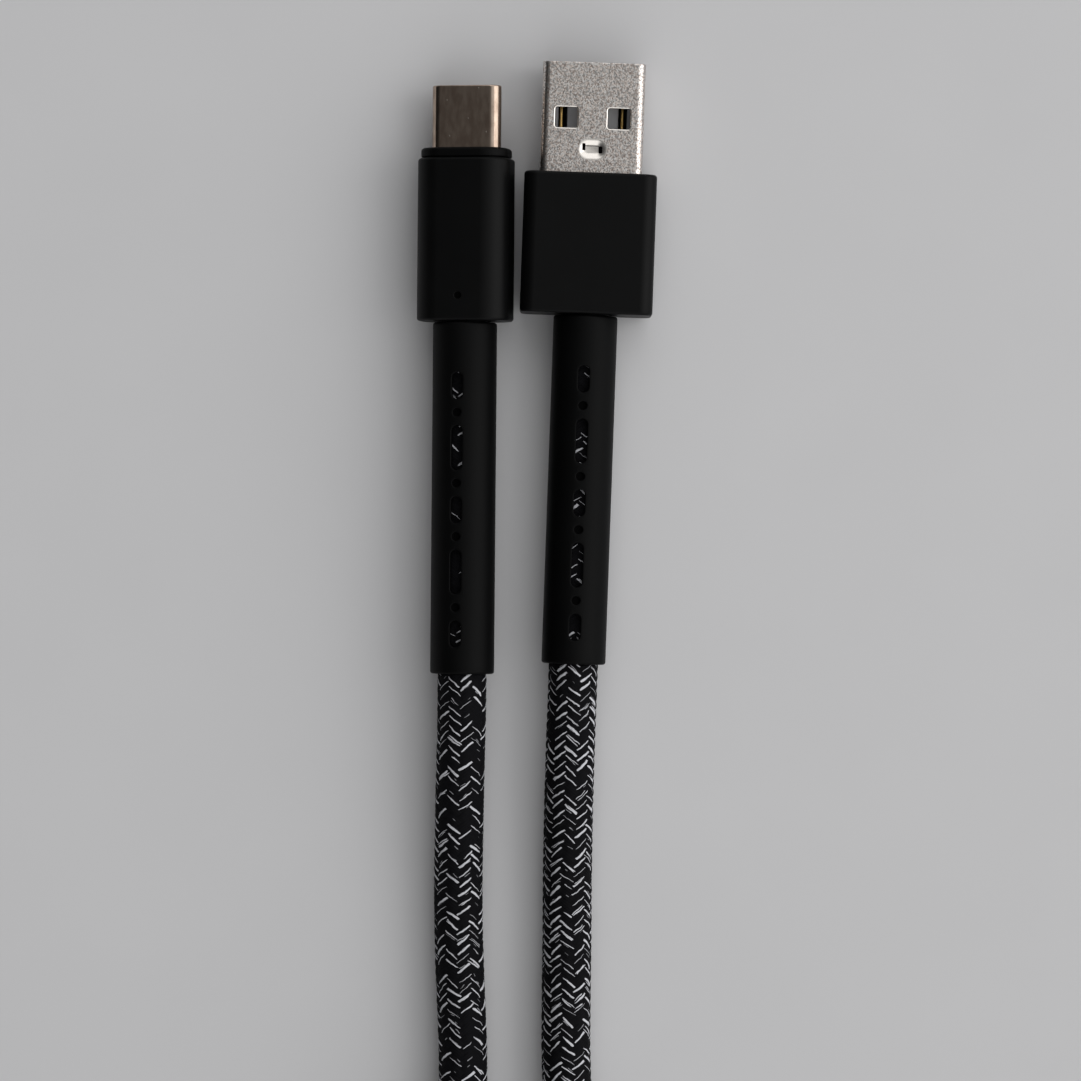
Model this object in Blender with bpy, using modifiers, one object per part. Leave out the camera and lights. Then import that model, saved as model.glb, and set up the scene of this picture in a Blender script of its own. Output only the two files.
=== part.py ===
"""A charging cable: a braided cord with a USB-A plug and a USB-C plug, each behind a slotted sleeve.

The two plugs lie side by side on a table, tips towards +Y. Both cords run down towards -Y, and the
rest of the length is folded into a tied hank in line with the plugs. Every sub-part is its own object.
The origin is on the table, in the middle of the pair of plugs. +Z is up.
"""

import math

import bmesh
import bpy
from mathutils import Vector

MM = 0.001

# Clearances
FIT = 0.15 * MM  # between mouldings and the metal that they hold
FINE_FIT = 0.08 * MM  # round the USB-A contacts, the springs and the latch
CONTACT_FIT = 0.065 * MM  # either side of a USB-C contact, whose neighbours are close
CORD_FIT = 0.3 * MM  # between the cord and what it passes through or meets
TABLE_FIT = 0.02 * MM  # under the cord

# Cord
CORD_DIAMETER = 5.8 * MM  # over the braid
JACKET_DIAMETER = 4.2 * MM  # the bare cable under the braid
WIRE_DIAMETER = 0.9 * MM

# USB-A plug. Its own Y runs to the tip, from the front of the housing.
A_SHELL_WIDTH = 12.0 * MM
A_SHELL_HEIGHT = 4.5 * MM
A_SHELL_WALL = 0.3 * MM
A_SHELL_BEND = 0.7 * MM
A_SHELL_OUT = 12.95 * MM
A_SHELL_IN = 6.0 * MM
A_SEAM = 0.1 * MM
A_WINDOW_WIDTH = 2.6 * MM
A_WINDOW_LENGTH = 2.35 * MM
A_WINDOW_APART = 6.15 * MM
A_WINDOW_FROM_TIP = 6.5 * MM
A_WINDOW_CORNER = 0.25 * MM
A_DIMPLE_WIDTH = 2.2 * MM
A_DIMPLE_LENGTH = 1.5 * MM
A_DIMPLE_CORNER = 0.6 * MM
A_DIMPLE_DEPTH = 0.15 * MM
A_DIMPLE_FROM_TIP = 10.15 * MM
A_SLIT_WIDTH = 1.3 * MM
A_SLIT_LENGTH = 0.45 * MM
A_SLIT_CORNER = 0.14 * MM
A_TONGUE_THICKNESS = 1.84 * MM
A_TONGUE_SETBACK = 0.4 * MM
A_SOCKET_DEPTH = 8.65 * MM
A_CONTACT_WIDTH = 1.0 * MM
A_CONTACT_THICKNESS = 0.25 * MM
A_TAIL = 1.1 * MM
A_CONTACTS = {
    "vbus": (-3.5 * MM, 1.3 * MM),
    "d_minus": (-1.0 * MM, 2.3 * MM),
    "d_plus": (1.0 * MM, 2.3 * MM),
    "gnd": (3.5 * MM, 1.3 * MM),
}  # place across the tongue, and setback from the tip
A_WIRES = {
    "vbus": ("red", -1.5 * MM, -0.2 * MM),
    "d_minus": ("white", -0.6 * MM, 0.5 * MM),
    "d_plus": ("green", 0.6 * MM, 0.5 * MM),
    "gnd": ("black", 1.5 * MM, -0.2 * MM),
}  # colour, and where each leaves the jacket
A_SHIELD_WALL = 0.25 * MM
A_HOUSING_WIDTH = 15.5 * MM
A_HOUSING_HEIGHT = 8.4 * MM
A_HOUSING_LENGTH = 16.45 * MM
A_HOUSING_ROUND = 1.6 * MM

# USB-C plug. Its own Y runs to the tip, from the front of the collar.
C_SHELL_WIDTH = 8.25 * MM
C_SHELL_HEIGHT = 2.4 * MM
C_SHELL_WALL = 0.2 * MM
C_SHELL_OUT = 7.4 * MM
C_SHELL_IN = 3.0 * MM
C_SLOT_WIDTH = 6.75 * MM
C_SLOT_HEIGHT = 1.1 * MM
C_SLOT_DEPTH = 6.2 * MM
C_SLOT_ROUND = 0.27 * MM
C_INSULATOR_SETBACK = 0.25 * MM
C_CONTACT_PITCH = 0.5 * MM
C_CONTACT_WIDTH = 0.25 * MM
C_CONTACT_THICKNESS = 0.14 * MM
C_CONTACT_RISE = 0.36 * MM  # height of each row's centre from the middle
C_CONTACT_SETBACK = 2.2 * MM
C_TAIL = 1.6 * MM
C_TOP_CONTACTS = {1: "gnd", 4: "vbus", 5: "cc", 6: "d_plus", 7: "d_minus", 9: "vbus", 12: "gnd"}
C_UNDER_CONTACTS = {1: "gnd", 4: "vbus", 9: "vbus", 12: "gnd"}
C_POSITIONS = 12
C_LATCH_THICKNESS = 0.12 * MM
C_LATCH_ARM = 0.3 * MM
C_LATCH_HOOK = 0.3 * MM  # how far each hook reaches in
C_LATCH_HOOK_LENGTH = 0.6 * MM
C_LATCH_SETBACK = 1.7 * MM
C_SPRING_WIDTH = 5.0 * MM
C_SPRING_LENGTH = 1.4 * MM
C_SPRING_THICKNESS = 0.12 * MM
C_SPRING_SETBACK = 0.5 * MM
C_BOARD_WIDTH = 7.4 * MM
C_BOARD_LENGTH = 6.6 * MM
C_BOARD_THICKNESS = 0.4 * MM
C_RESISTOR = (1.0 * MM, 0.5 * MM, 0.35 * MM)
C_RESISTOR_ACROSS = 2.2 * MM  # from the board's middle
C_WIRES = {"red": (-1, 1), "green": (1, 1), "black": (-1, -1), "white": (1, -1)}  # side, and up or down
C_WIRE_LEAVES = 0.7 * MM  # across and up from the jacket's middle
C_WIRE_JOINT_ACROSS = 1.5 * MM
C_WIRE_JOINT_IN = 0.8 * MM  # from the board's rear
C_SHIELD_WIDTH = 8.2 * MM
C_SHIELD_HEIGHT = 4.0 * MM
C_SHIELD_WALL = 0.2 * MM
C_SHIELD_ROUND = 0.8 * MM
C_COLLAR_WIDTH = 10.4 * MM
C_COLLAR_HEIGHT = 7.2 * MM
C_COLLAR_LENGTH = 1.05 * MM
C_HOUSING_WIDTH = 11.05 * MM
C_HOUSING_HEIGHT = 7.8 * MM
C_HOUSING_LENGTH = 19.0 * MM
C_HOUSING_ROUND = 3.0 * MM
C_HOUSING_WALL = 0.8 * MM
C_DOT_DIAMETER = 0.85 * MM
C_DOT_DEPTH = 0.3 * MM
C_DOT_FROM_REAR = 2.9 * MM

# Both housings
HOUSING_WALL = 1.0 * MM
END_WALL = 1.2 * MM
EDGE_ROUND = 0.35 * MM

# Crimp ferrule, and the sleeve that relieves the cord
FERRULE_LENGTH = 1.8 * MM
FERRULE_WALL = 0.4 * MM
FERRULE_INSET = 0.2 * MM  # from the inner mould's rear
SLEEVE_DIAMETER = 7.5 * MM
SLEEVE_HEAD_LENGTH = 1.6 * MM
SLEEVE_HEAD_DIAMETER = 5.7 * MM
SLEEVE_NECK_DIAMETER = 5.2 * MM
SLEEVE_SHOULDER = 1.2 * MM
SLEEVE_RIM = 0.25 * MM
A_SLEEVE_LENGTH = 40.75 * MM
C_SLEEVE_LENGTH = 41.1 * MM
SLOT_WIDTH = 1.3 * MM
SHORT_SLOT = 3.15 * MM
LONG_SLOT = 5.2 * MM
FIRST_SLOT = 5.9 * MM  # from the front of the sleeve
SLOT_TO_DOT = 1.53 * MM  # from a slot's end to the next dot's middle
SLEEVE_DOT = 1.0 * MM
SLEEVE_DOT_DEPTH = 0.35 * MM
SLOT_PATTERN = (SHORT_SLOT, LONG_SLOT, SHORT_SLOT, LONG_SLOT, SHORT_SLOT)

# Where the plugs lie, by the fronts of the USB-A housing and the USB-C collar
A_PLACE = (6.23 * MM, 22.58 * MM)
A_HEADING = math.radians(-2.03)
C_PLACE = (-8.3 * MM, 25.56 * MM)
C_HEADING = math.radians(-0.5)
C_ROLL = math.radians(-13.0)

# The two free stretches, as far as the hank: points chosen by hand, across and along the table
A_ROUTE = [
    (3.80, -45.9), (3.62, -52.9), (3.50, -60.0), (3.45, -67.0), (3.36, -74.0), (3.35, -81.0),
]  # millimetres
C_ROUTE = [
    (-9.02, -45.9), (-9.17, -52.9), (-9.29, -60.0), (-9.24, -67.0), (-9.00, -74.0), (-8.75, -81.0),
]  # millimetres
MOUTH_STRAIGHT = 4.0 * MM  # of the cord that leaves a sleeve
FALL_OVER = 26.0 * MM  # from there to where it lies on the table

# The hank: loops round an upper and a lower lobe, drawn in at the waist where the tie holds them
HANK_X = -2.65 * MM
HANK_ENTRY_Y = -83.2 * MM  # where the two cords start to part
HANK_ENTRY_OFFSET = 6.0 * MM  # of either cord from the hank's middle there
ENTRY_RADIUS = 18.0 * MM
ENTRY_STRAIGHT = 9.3 * MM  # between the bends where a cord joins the loops
INNER_RADIUS = 16.6 * MM
LOOP_STEP = 6.5 * MM
LOBES_APART = 57.4 * MM
WAIST_HALF = 12.5 * MM  # from the middle to the outer strand
LAYER_STEP = 6.35 * MM
LOOP_POINTS = 24
LOOPS = 2.5
TIE_THICKNESS = 1.1 * MM
TIE_WIDTH = 9.0 * MM
LIFTED_PAST_TIE = 5.4 * MM  # how far past the tie's edge the strands stay clear of the table
LIFT_OVER = 9.0 * MM  # from there to where they lie on it
DRAWN_IN_FROM = 0.25  # of a turn, from either end of the loops
DRAWN_IN_OVER = 0.4
CLIMB_FROM = 1.0  # turns; the loops climb a layer in the next half turn
CLIMB_OVER = 0.5
DESCENT_OVER = 0.2

# How finely shapes are made
ROUND_STEPS = 40
CORD_END_STEPS = 24
SMALL_STEPS = 16
CORNER_STEPS = 6
FREE_STEP = 2 * CORD_DIAMETER  # between the points of a free stretch
ENTRY_POINTS = 4
WIRE_POINTS = 8
WIRE_STRAIGHT = 0.15  # of a wire's length, at either end
FREE_SIDES = 2  # bevel resolution
HANK_SIDES = 1  # bevel resolution

PLASTIC = ("matte_black_plastic", (0.010, 0.011, 0.011), 0.55, 0.0)
RUBBER = ("matte_black_rubber", (0.012, 0.013, 0.013), 0.7, 0.0)
NICKEL = ("satin_nickel", (0.62, 0.58, 0.54), 0.35, 1.0)
DARK_NICKEL = ("dark_nickel", (0.30, 0.26, 0.23), 0.18, 1.0)
GOLD = ("contact_gold", (0.83, 0.60, 0.22), 0.25, 1.0)
STEEL = ("spring_steel", (0.55, 0.55, 0.55), 0.3, 1.0)
COPPER = ("crimp_brass", (0.72, 0.52, 0.30), 0.4, 1.0)
GREY = ("grey_insulator", (0.20, 0.20, 0.21), 0.5, 0.0)
BLACK = ("black_insulator", (0.02, 0.02, 0.02), 0.5, 0.0)
MOULD = ("inner_mould", (0.016, 0.016, 0.017), 0.5, 0.0)
GREEN_BOARD = ("board_green", (0.02, 0.16, 0.07), 0.4, 0.0)
CERAMIC = ("resistor_black", (0.03, 0.03, 0.035), 0.35, 0.0)
JACKET = ("cable_jacket", (0.05, 0.05, 0.05), 0.5, 0.0)
BRAID = ("braid", (0.10, 0.10, 0.105), 0.75, 0.0)
TIE = ("tie_fabric", (0.015, 0.015, 0.016), 0.85, 0.0)
WIRES = {
    "red": ("wire_red", (0.60, 0.03, 0.03), 0.4, 0.0),
    "white": ("wire_white", (0.80, 0.80, 0.78), 0.4, 0.0),
    "green": ("wire_green", (0.03, 0.35, 0.08), 0.4, 0.0),
    "black": ("wire_black", (0.02, 0.02, 0.02), 0.4, 0.0),
}


# ---------------------------------------------------------------------------- helpers

def material(spec):
    name, colour, roughness, metallic = spec
    made = bpy.data.materials.get(name)
    if made is None:
        made = bpy.data.materials.new(name)
        made.use_nodes = True
        shader = made.node_tree.nodes["Principled BSDF"]
        shader.inputs["Base Color"].default_value = (*colour, 1.0)
        shader.inputs["Roughness"].default_value = roughness
        shader.inputs["Metallic"].default_value = metallic
    return made


def new_collection(name):
    made = bpy.data.collections.new(name)
    bpy.context.scene.collection.children.link(made)
    return made


def link(obj, parent, finish):
    """Puts an object with the others; one without a finish is a cutter, which never shows."""
    obj.parent = parent
    if finish is None:
        CUTTERS.objects.link(obj)
        obj.hide_render = True
        obj.display_type = "WIRE"
    else:
        CABLE.objects.link(obj)
        obj.data.materials.append(material(finish))
    return obj


def empty(name, location, rotation=(0.0, 0.0, 0.0)):
    made = bpy.data.objects.new(name, None)
    CABLE.objects.link(made)
    made.location = location
    made.rotation_euler = rotation
    return made


def block(name, parent, finish, size, centre, corner=0.0, along="Y", edge=0.0):
    """A box of this size at this centre, with the four edges along one axis rounded to the corner radius."""
    shape = bmesh.new()
    bmesh.ops.create_cube(shape, size=1.0)
    bmesh.ops.scale(shape, vec=size, verts=shape.verts)
    if corner > 0:
        axis = "XYZ".index(along)
        across = [size[i] for i in range(3) if i != axis]
        runs = [e for e in shape.edges if abs(e.verts[0].co[axis] - e.verts[1].co[axis]) > 0.5 * size[axis]]
        radius = min(corner, 0.498 * min(across))
        bmesh.ops.bevel(shape, geom=runs, offset=radius, segments=CORNER_STEPS, profile=0.5, affect="EDGES")
    mesh = bpy.data.meshes.new(name)
    shape.to_mesh(mesh)
    shape.free()
    mesh.shade_smooth()
    mesh.set_sharp_from_angle(angle=math.radians(35))
    obj = link(bpy.data.objects.new(name, mesh), parent, finish)
    obj.location = centre
    if edge > 0:
        soften = obj.modifiers.new("edge", "BEVEL")
        soften.width = edge
        soften.segments = 2
        soften.limit_method = "ANGLE"
        soften.angle_limit = math.radians(60)
    return obj


def rod(name, parent, finish, diameter, front, rear, x=0.0, z=0.0, along="Y", sides=ROUND_STEPS):
    """A cylinder from front to rear along Y, or from top to bottom along Z."""
    shape = bmesh.new()
    bmesh.ops.create_cone(
        shape, cap_ends=True, segments=sides, radius1=diameter / 2, radius2=diameter / 2, depth=front - rear
    )
    mesh = bpy.data.meshes.new(name)
    shape.to_mesh(mesh)
    shape.free()
    mesh.shade_smooth()
    mesh.set_sharp_from_angle(angle=math.radians(35))
    obj = link(bpy.data.objects.new(name, mesh), parent, finish)
    middle = (front + rear) / 2
    if along == "Y":
        obj.rotation_euler = (math.radians(-90), 0, 0)
        obj.location = (x, middle, z)
    else:
        obj.location = (x, z, middle)
    return obj


def turned(name, parent, finish, profile):
    """A ring turned round the plug's own Y: points (radius, y), down the outside and back up the bore."""
    mesh = bpy.data.meshes.new(name)
    count = len(profile)
    mesh.from_pydata([(r, 0.0, y) for r, y in profile], [(i, (i + 1) % count) for i in range(count)], [])
    obj = link(bpy.data.objects.new(name, mesh), parent, finish)
    obj.rotation_euler = (math.radians(-90), 0, 0)
    turn = obj.modifiers.new("turn", "SCREW")
    turn.steps = ROUND_STEPS
    turn.render_steps = ROUND_STEPS
    turn.use_merge_vertices = True
    turn.merge_threshold = 0.00001
    turn.use_smooth_shade = True
    return obj


def cut(target, tool):
    made = target.modifiers.new("cut", "BOOLEAN")
    made.operation = "DIFFERENCE"
    made.solver = "EXACT"
    made.object = tool


def tube(name, parent, finish, points, diameter, resolution=FREE_SIDES):
    """A round tube along these points, with its ends closed."""
    data = bpy.data.curves.new(name, "CURVE")
    data.dimensions = "3D"
    data.bevel_depth = diameter / 2
    data.bevel_resolution = resolution
    data.use_fill_caps = True
    data.twist_mode = "MINIMUM"
    line = data.splines.new("POLY")
    line.points.add(len(points) - 1)
    for point, place in zip(line.points, points):
        point.co = (*place, 1.0)
    return link(bpy.data.objects.new(name, data), parent, finish)


def ease(x):
    """0 up to x = 0, 1 from x = 1, and a smooth step between."""
    x = min(1.0, max(0.0, x))
    return x * x * (3 - 2 * x)


def smooth_line(points, start, end, step):
    """Points a step apart on a smooth curve through these points, with its directions at both ends given."""
    knots = [Vector(p) for p in points]
    slopes = [Vector(start).normalized()]
    slopes += [(c - a).normalized() for a, c in zip(knots, knots[2:])]
    slopes.append(Vector(end).normalized())
    fine = [knots[0]]
    for a, b, m, n in zip(knots, knots[1:], slopes, slopes[1:]):
        span = (b - a).length
        for i in range(1, 25):
            t = i / 24
            fine.append(
                (1 + 2 * t) * (1 - t) ** 2 * a + t * (1 - t) ** 2 * span * m
                + t * t * (3 - 2 * t) * b + t * t * (t - 1) * span * n
            )
    return spaced(fine, step)


def spaced(fine, step):
    """The same line with points about a step apart, ends kept."""
    travelled = [0.0]
    for a, b in zip(fine, fine[1:]):
        travelled.append(travelled[-1] + (b - a).length)
    count = max(1, round(travelled[-1] / step))
    found = [fine[0]]
    at = 0
    for i in range(1, count):
        want = travelled[-1] * i / count
        while travelled[at + 1] < want:
            at += 1
        share = (want - travelled[at]) / (travelled[at + 1] - travelled[at])
        found.append(fine[at].lerp(fine[at + 1], share))
    return found + [fine[-1]]


def length_of(points):
    return sum((Vector(b) - Vector(a)).length for a, b in zip(points, points[1:]))


# ---------------------------------------------------------------------------- what both plugs have

def strain_relief(prefix, plug, housing_rear, sleeve_length):
    """The sleeve behind a housing, its head held inside the rear wall, and the cord's end within it."""
    front = housing_rear - FIT
    mouth = front - sleeve_length
    shoulder = front - SLEEVE_SHOULDER
    head_rear = housing_rear + END_WALL + FIT
    head_front = head_rear + SLEEVE_HEAD_LENGTH
    outer = SLEEVE_DIAMETER / 2
    bore = CORD_DIAMETER / 2 + CORD_FIT
    tight = JACKET_DIAMETER / 2 + FIT
    profile = [
        (SLEEVE_HEAD_DIAMETER / 2, head_front),
        (SLEEVE_HEAD_DIAMETER / 2, head_rear),
        (SLEEVE_NECK_DIAMETER / 2, head_rear),
        (SLEEVE_NECK_DIAMETER / 2, front),
        (outer - SLEEVE_RIM, front),
        (outer, front - SLEEVE_RIM),
        (outer, mouth + SLEEVE_RIM),
        (outer - 0.3 * SLEEVE_RIM, mouth + 0.3 * SLEEVE_RIM),
        (outer - SLEEVE_RIM, mouth),
        (bore, mouth),
        (bore, shoulder),
        (tight, shoulder),
        (tight, head_front),
    ]
    sleeve = turned(prefix + "_sleeve", plug, RUBBER, profile)
    start = FIRST_SLOT
    for number, slot in enumerate(SLOT_PATTERN):
        size = (SLOT_WIDTH, slot, 2 * SLEEVE_DIAMETER)
        middle = (0, front - start - slot / 2, 0)
        cut(sleeve, block(f"{prefix}_slot_{number}", plug, None, size, middle, SLOT_WIDTH / 2, "Z"))
        start += slot + SLOT_TO_DOT
        if number < len(SLOT_PATTERN) - 1:
            for side in (1, -1):
                top = side * outer + SLEEVE_DOT
                base = side * (outer - SLEEVE_DOT_DEPTH)
                if side < 0:
                    top, base = base, side * outer - SLEEVE_DOT
                name = f"{prefix}_sleeve_dot_{number}_{'top' if side > 0 else 'under'}"
                cut(sleeve, rod(name, plug, None, SLEEVE_DOT, top, base, 0, front - start, "Z", SMALL_STEPS))
        start += SLOT_TO_DOT
    braid_front = shoulder - CORD_FIT
    ring_front = ferrule_front(housing_rear)
    rod(prefix + "_braid_end", plug, BRAID, CORD_DIAMETER, braid_front, mouth, sides=CORD_END_STEPS)
    rod(
        prefix + "_jacket_end", plug, JACKET, JACKET_DIAMETER, ring_front + FIT, braid_front + CORD_FIT / 2,
        sides=CORD_END_STEPS,
    )
    ring_rear = ring_front - FERRULE_LENGTH
    ring_outer = tight + FERRULE_WALL
    ring = [(ring_outer, ring_front), (ring_outer, ring_rear), (tight, ring_rear), (tight, ring_front)]
    turned(prefix + "_crimp_ferrule", plug, COPPER, ring)
    return mouth


def mould_rear(housing_rear):
    return housing_rear + END_WALL + FIT + SLEEVE_HEAD_LENGTH + FIT


def ferrule_front(housing_rear):
    return mould_rear(housing_rear) + FERRULE_INSET + FERRULE_LENGTH


def ferrule_bore(prefix, plug, target, front, rear):
    bore = JACKET_DIAMETER + 2 * (FIT + FERRULE_WALL + FIT)
    cut(target, rod(prefix + "_ferrule_bore", plug, None, bore, front, rear - FERRULE_LENGTH))


def wire(name, plug, colour, start, end):
    """A wire that leaves the jacket straight, bends over and runs straight to its joint."""
    start, end = Vector(start), Vector(end)
    points = []
    for i in range(WIRE_POINTS):
        share = i / (WIRE_POINTS - 1)
        across = ease((share - WIRE_STRAIGHT) / (1 - 2 * WIRE_STRAIGHT))
        points.append(
            (start.x + (end.x - start.x) * across, start.y + (end.y - start.y) * share,
             start.z + (end.z - start.z) * across)
        )
    tube(name, plug, WIRES[colour], points, WIRE_DIAMETER, 1)


def rolled_half_height(width, height, corner, roll):
    """How far a rounded block reaches below its middle when it is rolled by this angle."""
    straight_up = (height / 2 - corner) * math.cos(roll)
    sideways = (width / 2 - corner) * abs(math.sin(roll))
    return straight_up + sideways + corner


# ---------------------------------------------------------------------------- USB-A plug

def usb_a_plug():
    plug = empty("usb_a_plug", (*A_PLACE, A_HOUSING_HEIGHT / 2), (0, 0, A_HEADING))
    usb_a_shell(plug)
    usb_a_core(plug)
    usb_a_back(plug)
    mouth = strain_relief("usb_a", plug, -A_HOUSING_LENGTH, A_SLEEVE_LENGTH)
    return plug, mouth


def usb_a_shell(plug):
    length = A_SHELL_OUT + A_SHELL_IN
    middle = (0, (A_SHELL_OUT - A_SHELL_IN) / 2, 0)
    shell = block("usb_a_shell", plug, NICKEL, (A_SHELL_WIDTH, length, A_SHELL_HEIGHT), middle, A_SHELL_BEND)
    inside = (A_SHELL_WIDTH - 2 * A_SHELL_WALL, 2 * length, A_SHELL_HEIGHT - 2 * A_SHELL_WALL)
    cut(shell, block("usb_a_shell_inside", plug, None, inside, middle, A_SHELL_BEND - A_SHELL_WALL))
    for side in (1, -1):
        size = (A_WINDOW_WIDTH, A_WINDOW_LENGTH, 2 * A_SHELL_HEIGHT)
        place = (side * A_WINDOW_APART / 2, A_SHELL_OUT - A_WINDOW_FROM_TIP, 0)
        cut(shell, block(f"usb_a_windows_{side}", plug, None, size, place, A_WINDOW_CORNER, "Z"))
    top = A_SHELL_HEIGHT / 2
    dimple_y = A_SHELL_OUT - A_DIMPLE_FROM_TIP
    size = (A_DIMPLE_WIDTH, A_DIMPLE_LENGTH, 2 * A_DIMPLE_DEPTH)
    cut(shell, block("usb_a_dimple", plug, None, size, (0, dimple_y, top), A_DIMPLE_CORNER, "Z"))
    size = (A_SLIT_WIDTH, A_SLIT_LENGTH, 4 * A_SHELL_WALL)
    cut(shell, block("usb_a_slit", plug, None, size, (0, dimple_y, top), A_SLIT_CORNER, "Z"))
    size = (A_SEAM, 2 * length, 4 * A_SHELL_WALL)
    cut(shell, block("usb_a_seam", plug, None, size, (0, 0, -top)))


def usb_a_core(plug):
    """The insulator, whose tongue fills the lower half of the shell, and the contacts in its grooves."""
    width = A_SHELL_WIDTH - 2 * (A_SHELL_WALL + FIT)
    height = A_SHELL_HEIGHT - 2 * (A_SHELL_WALL + FIT)
    front = A_SHELL_OUT - A_TONGUE_SETBACK
    rear = -A_SHELL_IN + FIT
    body = block("usb_a_insulator", plug, GREY, (width, front - rear, height), (0, (front + rear) / 2, 0))
    tongue_top = A_TONGUE_THICKNESS - height / 2
    base_front = A_SHELL_OUT - A_SOCKET_DEPTH
    size = (2 * width, 2 * (front - base_front), height)
    cut(body, block("usb_a_cavity", plug, None, size, (0, front, tongue_top + height / 2)))
    middle = tongue_top - A_CONTACT_THICKNESS / 2 - FINE_FIT / 2
    for name, (x, setback) in A_CONTACTS.items():
        tip = A_SHELL_OUT - setback
        tail = rear - A_TAIL
        size = (A_CONTACT_WIDTH, tip - tail, A_CONTACT_THICKNESS)
        place = (x, (tip + tail) / 2, middle)
        block("usb_a_contact_" + name, plug, GOLD, size, place)
        groove = (size[0] + 2 * FINE_FIT, size[1] + 2 * FINE_FIT, size[2] + 2 * FINE_FIT)
        cut(body, block(f"usb_a_groove_{name}", plug, None, groove, place))


def usb_a_back(plug):
    """The rear shield, the inner mould round it, the housing and the wires."""
    housing_rear = -A_HOUSING_LENGTH
    shield_front = -A_SHELL_IN - FIT
    shield_rear = ferrule_front(housing_rear) + 2 * FIT
    metal_tube(
        "usb_a_rear_shield", plug, STEEL, A_SHELL_WIDTH, A_SHELL_HEIGHT, A_SHIELD_WALL, A_SHELL_BEND,
        shield_front, shield_rear,
    )
    cavity_width = A_HOUSING_WIDTH - 2 * HOUSING_WALL
    cavity_height = A_HOUSING_HEIGHT - 2 * HOUSING_WALL
    rear = mould_rear(housing_rear)
    front = -END_WALL - FIT
    size = (cavity_width - 2 * FIT, front - rear, cavity_height - 2 * FIT)
    middle = (0, (front + rear) / 2, 0)
    mould = block("usb_a_inner_mould", plug, MOULD, size, middle, A_HOUSING_ROUND - HOUSING_WALL)
    opening = (A_SHELL_WIDTH + 2 * FIT, A_SHELL_HEIGHT + 2 * FIT)
    pocket_rear = shield_rear - FIT / 2
    pocket(mould, "usb_a_pocket", plug, opening, -pocket_rear, pocket_rear, A_SHELL_BEND + FIT)
    ferrule_bore("usb_a", plug, mould, 0.5 * shield_front, rear)
    size = (A_HOUSING_WIDTH, A_HOUSING_LENGTH, A_HOUSING_HEIGHT)
    housing = block(
        "usb_a_housing", plug, PLASTIC, size, (0, housing_rear / 2, 0), A_HOUSING_ROUND, edge=EDGE_ROUND
    )
    cavity = (cavity_width, A_HOUSING_LENGTH - 2 * END_WALL, cavity_height)
    centre = (0, housing_rear / 2, 0)
    cut(housing, block("usb_a_housing_inside", plug, None, cavity, centre, A_HOUSING_ROUND - HOUSING_WALL))
    pocket(housing, "usb_a_mouth", plug, opening, 2 * END_WALL, -2 * END_WALL, A_SHELL_BEND + FIT)
    neck_hole("usb_a", plug, housing, housing_rear)
    wire_rise = A_TONGUE_THICKNESS - A_SHELL_HEIGHT / 2 + A_SHELL_WALL + FIT + WIRE_DIAMETER / 2 + FIT
    wire_front = -A_SHELL_IN - A_TAIL / 2
    wire_rear = ferrule_front(housing_rear) + 2 * FIT
    for name, (colour, x, z) in A_WIRES.items():
        joint = (A_CONTACTS[name][0], wire_front, wire_rise)
        wire("usb_a_wire_" + colour, plug, colour, (x, wire_rear, z), joint)


def metal_tube(name, plug, finish, width, height, wall, corner, front, rear):
    middle = (0, (front + rear) / 2, 0)
    shell = block(name, plug, finish, (width, front - rear, height), middle, corner)
    inside = (width - 2 * wall, 2 * (front - rear), height - 2 * wall)
    cut(shell, block(name + "_inside", plug, None, inside, middle, corner - wall))
    return shell


def pocket(target, name, plug, opening, front, rear, corner):
    size = (opening[0], front - rear, opening[1])
    cut(target, block(name, plug, None, size, (0, (front + rear) / 2, 0), corner))


def neck_hole(prefix, plug, housing, housing_rear):
    hole = SLEEVE_NECK_DIAMETER + 2 * FIT
    front = housing_rear + 2 * END_WALL
    cut(housing, rod(prefix + "_neck_hole", plug, None, hole, front, housing_rear - END_WALL))


# ---------------------------------------------------------------------------- USB-C plug

def usb_c_plug():
    height = rolled_half_height(C_HOUSING_WIDTH, C_HOUSING_HEIGHT, C_HOUSING_ROUND, C_ROLL)
    plug = empty("usb_c_plug", (*C_PLACE, height), (0, C_ROLL, C_HEADING))
    metal_tube(
        "usb_c_shell", plug, DARK_NICKEL, C_SHELL_WIDTH, C_SHELL_HEIGHT, C_SHELL_WALL, C_SHELL_HEIGHT / 2,
        C_SHELL_OUT, -C_SHELL_IN,
    )
    usb_c_core(plug)
    usb_c_board(plug)
    housing_rear = usb_c_back(plug)
    mouth = strain_relief("usb_c", plug, housing_rear, C_SLEEVE_LENGTH)
    return plug, mouth


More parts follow.
